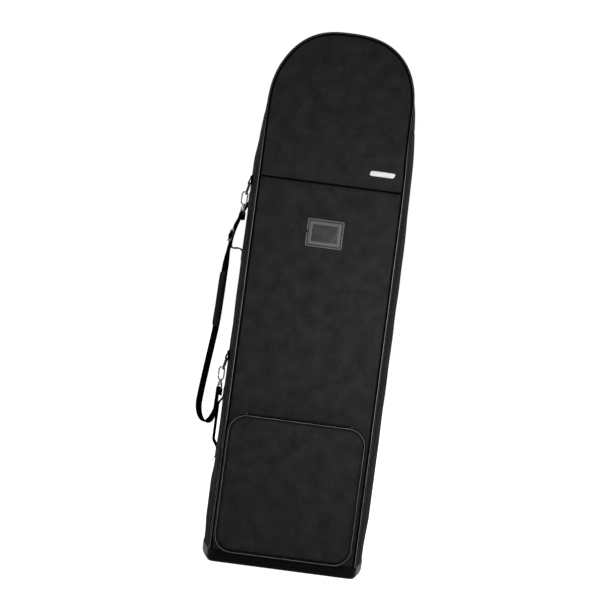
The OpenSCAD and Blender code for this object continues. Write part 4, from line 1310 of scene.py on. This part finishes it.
def strap_route():
    """The strap's line, and the direction of its width, which twists between each bar and the free fall."""
    fold = WIRE_R + FIT + STRAP_T / 2
    wide = fold / math.cos(EYE_TURN)

    def turn(bar, start, end):
        a = np.linspace(start, end, 11)
        return np.stack([HOOK_X + wide * np.cos(a), bar + fold * np.sin(a)], 1)
    hand = np.concatenate([below(UPPER_RING_Z, STRAP_FALL), below(LOWER_RING_Z, STRAP_BIGHT)])
    body = smooth_path(hand, 10)
    start = np.concatenate([[(HOOK_X - wide, UPPER_BAR - 0.016)], turn(UPPER_BAR, np.pi, 0),
                            [(HOOK_X + wide + 0.0012, UPPER_BAR - 0.010)]])
    end = np.concatenate([[(HOOK_X + wide, LOWER_BAR - 0.012)], turn(LOWER_BAR, 0, np.pi),
                          [(HOOK_X - wide, LOWER_BAR - 0.016)]])
    step = np.arange(len(body))
    twist = ease(np.minimum((step - 10) / 10, (len(body) - 1 - step) / 13))
    twist = np.concatenate([np.zeros(len(start)), twist, np.zeros(len(end))])
    return np.concatenate([start, body, end]), across_at(EYE_TURN + (STRAP_TURN - EYE_TURN) * twist)


def make_strap():
    flat, across = strap_route()
    path = strap_points(flat)
    obj, normal = ribbon("strap_webbing", path, across, STRAP_W, STRAP_T)
    finish_with(obj, "webbing", "strap")
    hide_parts("shoulder_strap")
    path, across, normal = path[STRAP_SEWN], across[STRAP_SEWN], normal[STRAP_SEWN]
    rows = [stitches("edge", path + across * s * STRAP_ROW + normal * STRAP_T / 2, normal) for s in (-1, 1)]
    sew("strap_thread", "strap", rows)
    return obj


def make_adjuster_fold():
    """The webbing's turn over the middle bar of the three-bar slide."""
    lean = STRAP_FALL[1] - STRAP_FALL[0]
    middle_bar = strap_points(below(UPPER_RING_Z, np.array([(0.0299, 0.130)])))[0]
    turned = (Matrix.Translation(middle_bar) @ Matrix.Rotation(EYE_TURN, 4, "Z")
              @ Matrix.Rotation(math.atan2(lean[0], lean[1]), 4, "Y"))
    half = np.array([(-1.9, 10.5), (-2.4, 9), (-3.4, 7), (-4.9, 4.6), (-5.7, 2.4), (-5.85, 0)]) / 1000
    line = np.concatenate([half, half[-2::-1] * [1, -1]])
    path = [turned @ Vector((x, 0, z)) for x, z in smooth_path(line, 4)]
    obj, _ = ribbon("adjuster_webbing", path, turned.to_3x3() @ Vector((0, 1, 0)), 0.0352, 0.0018)
    return finish_with(obj, "webbing", "strap")


PAD_COLUMNS = 17


def make_pad():
    """The foam pad on the strap: a crowned cover, sewn flat round its edge."""
    path = strap_points(smooth_path(below(UPPER_RING_Z, PAD_POINTS), 12))
    normal = np.cross(unit(np.gradient(path, axis=0)), STRAP_DIR)
    run = np.linspace(-1, 1, len(path))
    width = (STRAP_W / 2 + 0.003) * (1 - 0.16 * run ** 6)
    s = np.linspace(-1, 1, PAD_COLUMNS)
    crowned = np.clip((1 - s[None] ** 6) * (1 - run[:, None] ** 10), 0, 1) ** 0.5
    lift = STRAP_T / 2 + 0.0006 + 0.0034 * crowned
    flat = path[:, None] + STRAP_DIR * (s[None] * width[:, None])[..., None]
    under = flat + normal[:, None] * (STRAP_T / 2 + 0.0004)
    rows = np.concatenate([flat + normal[:, None] * lift[..., None], under[:, ::-1]], 1)
    obj = grid("strap_pad", rows, ring=True, caps=True)
    index = numbered(rows)
    top = index[:, :PAD_COLUMNS]
    held = np.unique(np.concatenate([index[:, PAD_COLUMNS:].ravel(), top[:, [0, -1]].ravel(),
                                     index[[0, -1]].ravel(), top[::8].ravel()]))
    simulate(obj, held, 0.0022)
    subdivide(obj)
    finish_with(obj, "strap_pad", "strap")
    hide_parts("shoulder_pad")
    return obj


def make_ring_tab(name, z):
    """A ring's tab, turned like the ring to lie square to the swollen side."""
    cross_x = HOOK_X - CROSSING
    turn = (Matrix.Translation((-cross_x, RING_Y, z)) @ Matrix.Rotation(math.atan(slope_at(RING_Y)), 4, "Z")
            @ Matrix.Translation((cross_x, 0, 0)))
    bar = TAB_X + TAB_FOLD
    out = TAB_X + TAB_T + FIT
    a = np.linspace(0, np.pi, 15)
    fold = np.stack([bar - TAB_FOLD * np.cos(a), -TAB_FOLD * np.sin(a)], 1)
    outer = [(out + 0.003, 0.006), (out + 0.0008, 0.0095), (out, 0.012), (out, 0.015), (out, 0.018)]
    flat = np.concatenate([[(TAB_X, rise) for rise in (0.020, 0.014, 0.008, 0.002)], fold, outer])
    across, up = (np.array(turn.to_3x3() @ Vector(v)) for v in ((0, 1, 0), (-1, 0, 0)))
    obj, _ = ribbon(name, [turn @ Vector((-x, 0, rise)) for x, rise in flat], across, TAB_W, TAB_T)
    finish_with(obj, "webbing", "case")
    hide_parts("ring_tab_" + name.split("_")[2])
    centre = np.array(turn @ Vector((-out - TAB_T / 2, 0, 0.0145)))
    sew(name + "_thread", "case", [box_stitch(centre + up * 0.0001, (0, 0, 1), across, up, 0.005, 0.019)])
    return obj


# ---- How the full case settles ----


BOW_RIGHT = 0.0045
BOW_LEFT = 0.0030
SHOULDER_LEAN = 0.0045
UPPER_LEFT_LEAN = 0.0036
CORNER_DRAW = 0.0055
TOP_DRAW = 0.0020


def settle(*objects):
    """Bows the soft case: fuller low down, leaner at the right shoulder and the left of the crown."""
    for obj in objects:
        co = places_of(obj)
        x, y, z = co.T.copy()
        full = swell(y, 1)
        right, left = ease((x - 0.12) / 0.05), ease((-x - 0.12) / 0.05)
        co[:, 0] += BOW_RIGHT * full * right * (1 - ease((z - 0.75) / 0.25)) * ease((z - 0.04) / 0.10)
        co[:, 0] -= BOW_LEFT * full * left * ease((z - 0.04) / 0.05) * (1 - ease((z - 0.17) / 0.05))
        lean = SHOULDER_LEAN * np.exp(-(((z - 1.06) / 0.10) ** 2)) * ease(x / 0.17)
        co[:, 0] += UPPER_LEFT_LEAN * full * left * ease((z - 0.95) / 0.06) * (1 - ease((z - 1.14) / 0.08))
        co[:, 0] -= lean * (1 - ease((y + HALF_D) / 0.10))
        angle = np.degrees(np.arctan2(z - ARCH_Z, x))
        draw = CORNER_DRAW * np.exp(-(((angle - 135) / 22) ** 2))
        draw += TOP_DRAW * np.exp(-(((angle - 90) / 30) ** 2))
        reach = np.hypot(x, z - ARCH_Z)
        draw = draw * ease(reach / 0.17) * (z > ARCH_Z) / np.maximum(reach, 1e-6)
        co[:, 0] -= draw * x
        co[:, 2] -= draw * (z - ARCH_Z)
        move_to(obj, co)


# ---- Inside the case ----


LINER_T = 0.0135
QUILT = 0.046              # between the liner's seams
PUFF = 0.006               # how deep a seam draws in
INNER_W = 0.038
INNER_T = 0.0019


def make_crown_pad():
    """The padded liner under the crown, quilted in channels across it."""
    low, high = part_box("crown_pad")
    stations = arch(np.radians(np.linspace(15, 165, 97)))
    top = GUSSET_WALL + FIT - swell(high.y, CROWN_BULGE) + 0.0006
    ys = np.linspace(low.y + 0.001, high.y - 0.001, 41)
    columns = len(ys)
    run = lengths(stations[:, :2])
    pinch = np.minimum(np.abs((run + QUILT / 2) % QUILT - QUILT / 2)[:, None],
                       np.abs((ys - ys[0] + QUILT / 2) % QUILT - QUILT / 2)[None])
    ends = np.minimum(run, run[-1] - run)[:, None]
    sides = np.minimum(ys - ys[0], ys[-1] - ys)[None]
    puff = PUFF * (1 - np.exp(-pinch / 0.009)) - PUFF
    fall = LINER_T + puff - 0.008 * np.exp(-(ends / 0.006) ** 2) - 0.006 * np.exp(-(sides / 0.005) ** 2)
    obj = band("crown_liner", stations, ys, np.full_like(fall, -top), -(top + fall))
    index = np.arange(len(obj.data.vertices)).reshape(len(stations), -1)
    seams = pinch[:, ::-1] < 0.0035
    held = [index[:, :columns].ravel(), index[:, columns:][seams], index[[0, -1]].ravel()]
    simulate(obj, np.unique(np.concatenate(held)), 0.0035)
    finish_with(obj, "liner", "case")
    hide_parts("crown_pad")
    return obj


def make_inner_straps():
    low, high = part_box("interior_straps")
    y = (low.y + high.y) / 2
    parts, threads = [], []
    for node in ("buckle_female_upper", "buckle_female_lower"):
        b_low, b_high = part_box(node)
        z = (b_low.z + b_high.z) / 2
        for x0, x1, sewn_at in ((low.x, -0.042, low.x), (0.048, high.x, high.x)):
            x = np.linspace(x0, x1, 30)
            droop = 0.0015 * np.sin(np.pi * (x - x0) / (x1 - x0))
            path = np.stack([x, np.full_like(x, y), z - droop], 1)
            parts.append(ribbon("inner", path, (0, 0, 1), INNER_W, INNER_T)[0])
            end = (sewn_at + math.copysign(0.013, -sewn_at), y - 0.00105, z)
            threads.append(box_stitch(end, (1, 0, 0), (0, 0, 1), (0, -1, 0), 0.016, 0.028))
    obj = join("inner_straps", parts)
    finish_with(obj, "webbing", "case")
    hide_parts("interior_straps")
    sew("inner_strap_thread", "case", threads)


# ---- Trim on the front ----


def drape(points, carrier, lift):
    """Moves points in depth so that they lie a lift in front of the carrier."""
    tree = tree_of(carrier)
    for point, rise in zip(points, np.broadcast_to(lift, len(points))):
        hit = tree.ray_cast(Vector((point[0], -1, point[2])), Vector((0, 1, 0)))[0]
        point[1] = hit.y - rise
    return points


def make_badge(carrier):
    """A plain bar of satin stitch: slanted threads side by side over a padded core."""
    low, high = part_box("blank_badge")
    middle = (low + high) / 2
    w, h = (high.x - low.x) / 2, (high.z - low.z) / 2
    parts = []
    for number, x in enumerate(np.arange(-w + 0.0012, w - 0.0008, 0.00062)):
        inset = max(0.0, abs(x) - (w - h))
        reach = math.sqrt(max(h * h - inset * inset, 1e-8)) * (0.97 + 0.03 * math.sin(number * 2.4))
        t = np.linspace(-1, 1, 9)
        path = np.stack([middle.x + x + 0.0012 * t, np.zeros(9), middle.z + reach * t], 1)
        drape(path, carrier, 0.0001 + 0.0011 * np.sqrt(1 - 0.98 * t * t))
        parts.append(tube("strand", path, 0.00036, 5))
    obj = join("satin_bar", parts)
    finish_with(obj, "badge", "flap")
    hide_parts("blank_badge")
    return obj


# The card frame's section: how far in from its edge and how thick, in millimetres.
CARD_SECTION = [(0, 0), (0, 1.6), (0.5, 2.1), (2.4, 2.2), (3.0, 1.5), (5.6, 1.5), (6.2, 2.2), (12.0, 2.3),
                (13.0, 1.9), (13.3, 1.2), (13.3, 0)]
CHANNEL_FACE = 4
CHANNEL_IN = 0.0043        # from the frame's edge to the middle of its stitched channel
NOTCH_R = 0.0035


def card_loop(inset, y):
    low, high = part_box("id_frame")
    middle, half = (low + high) / 2, (high - low) / 2
    loop = rounded_loop(middle, half.x - inset, half.z - inset, 0.004 - min(inset, 0.0025), y, 40, 8)
    reach = NOTCH_R**2 - (loop[:, 2] - middle.z - 0.002) ** 2
    notched = np.where(reach > 0, low.x + np.sqrt(np.maximum(reach, 0)), -1)
    loop[:, 0] = np.maximum(loop[:, 0], notched)
    return loop


def make_card_frame():
    """The window's embossed vinyl frame with its stitched channel and thumb notch, and the sheet in it."""
    low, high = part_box("id_frame")
    rows = [card_loop(inset / 1000, high.y - rise / 1000) for inset, rise in CARD_SECTION]
    obj = grid("card_frame_vinyl", rows, loop=True, ring=True)
    finish_with(obj, "card_frame", "flap")
    # The channel's floor gets the darker vinyl: painted shade in the groove.
    two_faced(obj, np.arange(len(obj.data.polygons)) // len(rows[0]) == CHANNEL_FACE, "card_channel")
    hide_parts("id_frame")
    path = card_loop(CHANNEL_IN, high.y - 0.0016)
    thread = stitches("card_frame_thread", np.concatenate([path, path[:1]]), (0, -1, 0), 0.0036, 0.0027)
    finish_with(thread, "thread", "flap")

    low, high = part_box("id_window")
    x, z = np.linspace(low.x, high.x, 40), np.linspace(low.z, high.z, 28)
    u, v = np.meshgrid(np.linspace(-1, 1, 40), np.linspace(-1, 1, 28))
    crown = 0.0005 * (1 - u**4) * (1 - v**4) + 0.00012 * cloth_field(*np.meshgrid(x, z), 41, 0.03)
    window = grid("card_window_vinyl", sheet(x, low.y - crown, z))
    finish_with(window, "card_window", "flap")
    modify(window, "SOLIDIFY", thickness=0.0003, offset=1)
    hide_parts("id_window")
    return obj, window


def make_card_beads(carrier):
    """Two small beads at the window's edge that catch the light."""
    studs = []
    for name in ("card_bead_upper", "card_bead_lower"):
        hit, normal = place(name, carrier)
        sizes = np.diag([0.0009, 0.0005, 0.0009])[:, None]
        studs.append(beads(name, [np.array(hit + normal * 0.0003)], *sizes))
    return finish_with(join("card_beads", studs), "rivet", "flap")


SEAM_ROW = 0.0055          # from the cross seam down to its stitches


def make_seam_thread(panel):
    """Top stitching below the cross seam and in the gusset beside both zip tapes."""
    w = HALF_W - EDGE - 0.006
    x = np.linspace(-w, w, 120)
    row = drape(np.stack([x, np.zeros(120), np.full(120, SEAM_Z - SEAM_ROW)], 1), panel, 0.0001)
    cross = stitches("cross_seam_thread", row, (0, -1, 0))
    finish_with(cross, "thread", "flap")
    rows = []
    for y, z0, body in ((ZIP_CASE[1].y + 0.0035, CASE_Z, "case"), (ZIP_FLAP[0].y - 0.0030, FLAP_Z, "flap")):
        stations = outline(z0, step=0.004, arch_steps=220)
        path = at(stations, y, swell(y, bulge_at(stations[:, 1])) + 0.0001)
        thread = stitches("gusset_thread_" + body, path, outward_of(stations))
        rows.append(finish_with(thread, "thread", body))
    return [cross] + rows


# ---- Stage ----


FLOOR_GLOW = 0.80
WORLD_LIGHT = 0.48


def eye_rays(tree):
    """1 for rays by which the camera sees, straight or mirrored, and 0 for the rays that light."""
    rays = wire(tree, "LightPath").outputs
    mirrored = wire(tree, "Math", {0: rays["Is Glossy Ray"], 1: rays["Is Transmission Ray"]},
                    operation="MAXIMUM").outputs[0]
    return wire(tree, "Math", {0: rays["Is Camera Ray"], 1: mirrored}, operation="MAXIMUM").outputs[0]


def make_stage():
    """A white floor and world that look white to the camera and light the case at a plain level."""
    bpy.ops.mesh.primitive_plane_add(size=60, location=(0, 0, 0))
    floor = bpy.context.object
    floor.name = "floor"
    m = Nodes("floor", (0.8, 0.8, 0.8), 0.9, 0.0)
    m.feed("Emission Strength", m.mul(eye_rays(m.tree), FLOOR_GLOW))
    m.shader.inputs["Emission Color"].default_value = (1, 1, 1, 1)
    floor.data.materials.append(m.material)
    floor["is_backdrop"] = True

    world = bpy.data.worlds.new("studio")
    scene.world = world
    world.use_nodes = True
    tree = world.node_tree
    background = tree.nodes["Background"]
    level = wire(tree, "Math", {0: eye_rays(tree), 1: 1 - WORLD_LIGHT, 2: WORLD_LIGHT},
                 operation="MULTIPLY_ADD")
    tree.links.new(level.outputs[0], background.inputs["Strength"])
    background.inputs["Color"].default_value = (1, 1, 1, 1)


def make_lamp(name, spot, aim, size, power):
    data = bpy.data.lights.new(name, "AREA")
    data.shape = "RECTANGLE"
    data.size, data.size_y = size
    data.energy = power
    lamp = bpy.data.objects.new(name, data)
    lamp.location = spot
    lamp.visible_camera = False
    lamp.rotation_euler = (Vector(aim) - Vector(spot)).to_track_quat("-Z", "Y").to_euler()
    scene.collection.objects.link(lamp)


# ---- Putting it together ----


front = make_lower_panel()
hood = make_hood()
back = make_back()
binding = make_inner_binding()
seams = make_crease_shade_strips()
rear_gusset, front_gusset = make_gussets()
front_cord = make_piping("front_piping_cord", -PIPING_Y, FLAP_Z, "flap", "front_piping", 21)
rear_cord = make_piping("rear_piping_cord", PIPING_Y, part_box("rear_piping")[0].z, "case", "rear_piping", 22)
tapes = [make_tape("zip_tape_case_cloth", ZIP_CASE, CASE_Z, "case", "zip_tape_case"),
         make_tape("zip_tape_flap_cloth", ZIP_FLAP, FLAP_Z, "flap", "zip_tape_flap")]
teeth = [make_teeth("zip_coil_case", 1, CASE_Z, "case"), make_teeth("zip_coil_flap", -1, FLAP_Z, "flap")]
make_boot()
make_hinge()
pocket_cord = make_pocket()
make_pocket_zip()
make_side_handle("side_handle_cloth_upper", "side_handle_upper", droop_path)
make_side_handle("side_handle_cloth_lower", "side_handle_lower", loop_path)
make_tow_handle()
strap = make_strap()
make_adjuster_fold()
pad = make_pad()
upper_tab = make_ring_tab("ring_tab_upper_cloth", UPPER_RING_Z)
make_ring_tab("ring_tab_lower_cloth", LOWER_RING_Z)
crown = make_crown_pad()
make_inner_straps()
badge = make_badge(hood)
card_frame, window = make_card_frame()
card_beads = make_card_beads(window)
seam_threads = make_seam_thread(front)
settle(front, hood, back, binding, seams, rear_gusset, front_gusset, front_cord, rear_cord, *tapes, *teeth,
       crown, badge, *seam_threads)
make_stage()
make_lamp("key", (0.29, -0.76, 0.64), (0.24, -0.14, 0.62), (0.25, 0.45), 4.6)
make_lamp("left", (-2.4, -2.2, 1.6), (0, 0, 0.64), (0.5, 2.0), 26)
make_lamp("back", (0.6, 3.2, 2.4), (0, 0, 0.64), (2.0, 1.6), 36)

# ---- How true the image points are ----


def seen_pixels(objects, point, reach):
    """Pixels of the finished vertices near an image point that nothing hides from the camera."""
    eye = camera.matrix_world.translation
    found = []
    for obj in objects:
        co = np.array([v.co for v in shown_mesh(obj).vertices])
        pixels = pixel_of(co)
        near = (abs(pixels - point) < reach).all(1)
        for spot, pixel in zip(co[near], pixels[near]):
            ray = Vector(spot) - eye
            hit = SHOWN.ray_cast(eye, ray.normalized(), ray.length - 0.002)[0]
            if hit is None:
                found.append(pixel)
    return np.array(found)


def shown_tree():
    """One tree of every shown piece near the camera's side, for telling what hides what."""
    verts, faces = [], []
    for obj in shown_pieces():
        mesh = shown_mesh(obj)
        base = len(verts)
        verts += [v.co.copy() for v in mesh.vertices]
        faces += [[base + i for i in polygon.vertices] for polygon in mesh.polygons]
        bpy.data.meshes.remove(mesh)
    return BVHTree.FromPolygons(verts, faces)


def off_point(name, objects, runs=None, reach=30.0):
    """How far the middle of what shows lies from its image point.

    A row that runs along x or y counts across only.
    """
    point = np.array(POINTS[name], float)
    window = np.array([4.0 if runs == "x" else reach, 4.0 if runs == "y" else reach])
    pixels = seen_pixels(objects, point, window)
    if not len(pixels):
        return None
    off = (pixels.min(0) + pixels.max(0)) / 2 - point
    if runs:
        off["xy".index(runs)] = 0
    return [round(float(v), 2) for v in off]


def off_bight(strap):
    """The same for the lowest place of the strap's bight."""
    point = np.array(POINTS["strap_bight"], float)
    pixels = seen_pixels([strap], point, np.array([20.0, 20.0]))
    lowest = pixels[pixels[:, 1] > pixels[:, 1].max() - 1].mean(0)
    return [round(float(v), 2) for v in lowest - point]


def off_outline():
    """The same for the object's left, right, top and bottom."""
    pixels = np.concatenate([pixel_of([v.co for v in shown_mesh(obj).vertices]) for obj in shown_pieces()])
    low, high = pixels.min(0), pixels.max(0)
    ends = {"outline_left": (low[0], None), "outline_right": (high[0], None),
            "outline_top": (None, low[1]), "outline_bottom": (None, high[1])}
    return {name: [None if end is None else round(float(end - point), 2)
                   for end, point in zip(ends[name], POINTS[name])] for name in ends}


def check_points():
    nodes = frame["nodes"]
    off = off_outline()
    off["strap_bight"] = off_bight(strap)
    for name, objects, runs, reach in (
            ("cross_seam_middle", [seams], "x", 12), ("card_frame", [card_frame], None, 40),
            ("card_bead_upper", [card_beads], None, 2.1), ("card_bead_lower", [card_beads], None, 2.1),
            ("left_piping", [front_cord], "y", 12), ("right_piping", [front_cord], "y", 12),
            ("pocket_top", [pocket_cord], "x", 12), ("pocket_right", [pocket_cord], "y", 12),
            ("pocket_bottom", [pocket_cord], "x", 12), ("upper_tab", [upper_tab], None, 30),
            ("upper_hook", [nodes["snap_hook_upper"]], None, 30),
            ("lower_hook", [nodes["snap_hook_lower"]], None, 30),
            ("strap_pad", [pad], None, 60), ("main_slider", [nodes["main_slider_upper"]], None, 20)):
        off[name] = off_point(name, objects, runs, reach)


SHOWN = shown_tree()
check_points()
